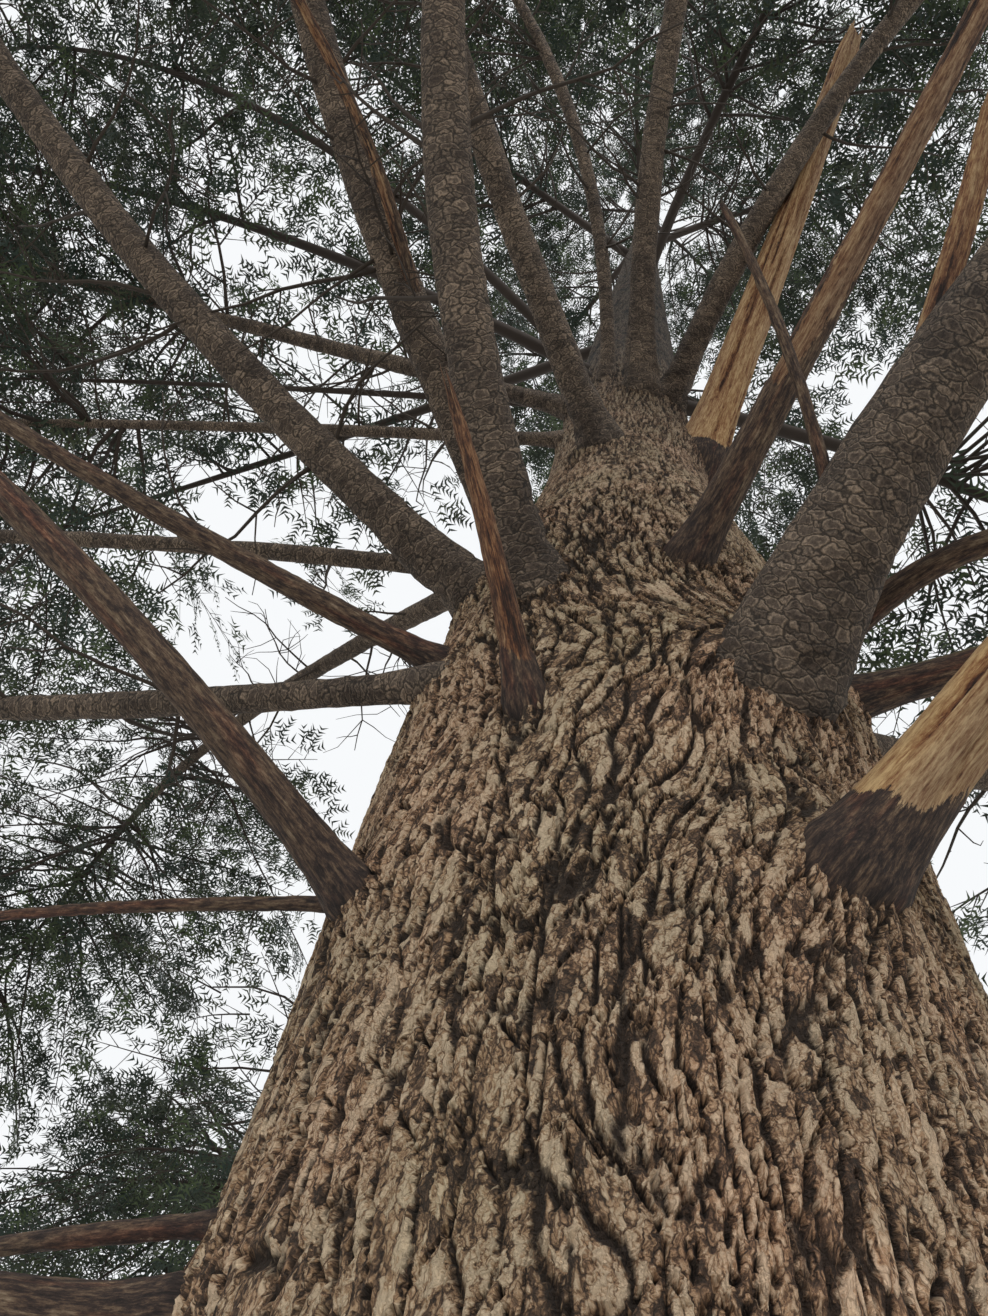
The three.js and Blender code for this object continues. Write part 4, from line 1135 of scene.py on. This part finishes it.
# Dead twigs: bare weathered wood, greyer than the live ones.
dead_twig, _, _ = new_material("dead_hemlock_twig", 0.9, "#40372f")
parts = [
    rods(dead_lines, np.linspace(0.0080, 0.0024, DEAD_TWIG_STEPS + 1), 4),
    rods(dead_forks, np.linspace(0.0034, 0.0014, FORK_STEPS + 1), 3),
]
finish_piece(mesh_from_triangles("dead_twigs", *joined(parts)), dead_twig, [])

# Needle sprays: a thread of a twig with two ranks of flat blunt needles, in short side shoots.
# The needles are larger than life, so that fewer fill the crown. Each shoot is its foot's place,
# its angle in degrees and its length, and the last shoot, the middle one, has more needles.
NEEDLE_LENGTH, NEEDLE_WIDTH, SHOOT_WIDTH = 0.042, 0.013, 0.003
SHOOTS = [(0.12, 50, 0.095), (0.45, -50, 0.085), (0.20, 0, 0.150)]
FEET_APART = 0.16
NEEDLES_TO_SHOOT, MORE_TO_MIDDLE = 3, 3
SPRAY_PATTERNS = 6


def spray_pattern(seed):
    chance = np.random.default_rng(seed)
    places, triangles = [], []

    def blade(foot, way, length, width):
        side = np.array([-way[1], way[0], 0]) * width / 2
        first = len(places)
        places.extend([foot - side, foot + side, foot + way * length])
        triangles.append((first, first + 2, first + 1))

    for place, angle, length in SHOOTS:
        turn = math.radians(angle + chance.uniform(-6, 6))
        way = np.array([math.cos(turn), math.sin(turn), 0])
        foot = np.array([place * FEET_APART, 0, 0])
        blade(foot, way, length, SHOOT_WIDTH)
        needles = NEEDLES_TO_SHOOT + (0 if angle else MORE_TO_MIDDLE)
        for index in range(needles):
            for side in (1, -1):
                spread = turn + side * math.radians(chance.uniform(42, 70))
                needle = np.array([math.cos(spread), math.sin(spread), chance.uniform(-0.35, 0.35)])
                root = foot + way * length * (index + 0.6 + 0.3 * chance.random()) / needles
                blade(root, needle, NEEDLE_LENGTH * chance.uniform(0.75, 1.15), NEEDLE_WIDTH)
    return np.array(places), np.array(triangles)


patterns = [spray_pattern(seed) for seed in range(SPRAY_PATTERNS)]
spray_roots, spray_axes = np.array(spray_roots), np.array(spray_axes)
spray_sizes = np.array(spray_sizes)
GREENS = {
    "needles_dark": "#1f2a1b", "needles_deep": "#263324", "needles_mid": "#2f3d28",
    "needles_olive": "#3a4429", "needles_blue": "#293a30", "needles_fresh": "#465634",
}
dealt = draw.integers(0, len(GREENS), len(spray_roots))
variant = draw.integers(0, len(patterns), len(spray_roots))
for index, (name, code) in enumerate(GREENS.items()):
    needle, _, _ = new_material("hemlock_" + name, 0.6, code)
    parts = []
    for shape, (places, triangles) in enumerate(patterns):
        chosen = (dealt == index) & (variant == shape)
        sized = places[None] * spray_sizes[chosen][:, None, None]
        spots = spray_roots[chosen][:, None, :] + np.einsum("nki,nij->nkj", sized, spray_axes[chosen])
        shift = (np.arange(len(spots)) * len(places))[:, None, None]
        parts.append((spots.reshape(-1, 3), (triangles[None] + shift).reshape(-1, 3)))
    finish_piece(mesh_from_triangles(name, *joined(parts)), needle, foliage_nodes)


# The floor is a plain pale studio floor, level with the cut under the trunk.
floor = bpy.data.objects.new("floor", bpy.data.meshes.new("floor"))
form = bmesh.new()
bmesh.ops.create_grid(form, x_segments=1, y_segments=1, size=60)
form.to_mesh(floor.data)
form.free()
bpy.context.scene.collection.objects.link(floor)
floor.data.materials.append(new_material("pale_floor", 0.9, "#c9c7c2")[0])
floor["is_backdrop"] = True

# Soft light: a white overcast dome, and one broad lamp from the open side in front.
world = bpy.data.worlds.new("overcast")
bpy.context.scene.world = world
world.use_nodes = True
dome = world.node_tree.nodes["Background"]
dome.inputs["Color"].default_value = linear("#f8fafc")
dome.inputs["Strength"].default_value = 1.0
lamp = bpy.data.objects.new("lamp", bpy.data.lights.new("lamp", "SUN"))
lamp.data.energy = 2.2
lamp.data.angle = math.radians(40)
lamp.matrix_world = Vector((0.15, -1, 0.7)).to_track_quat("Z", "Y").to_matrix().to_4x4()
bpy.context.scene.collection.objects.link(lamp)

low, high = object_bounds()
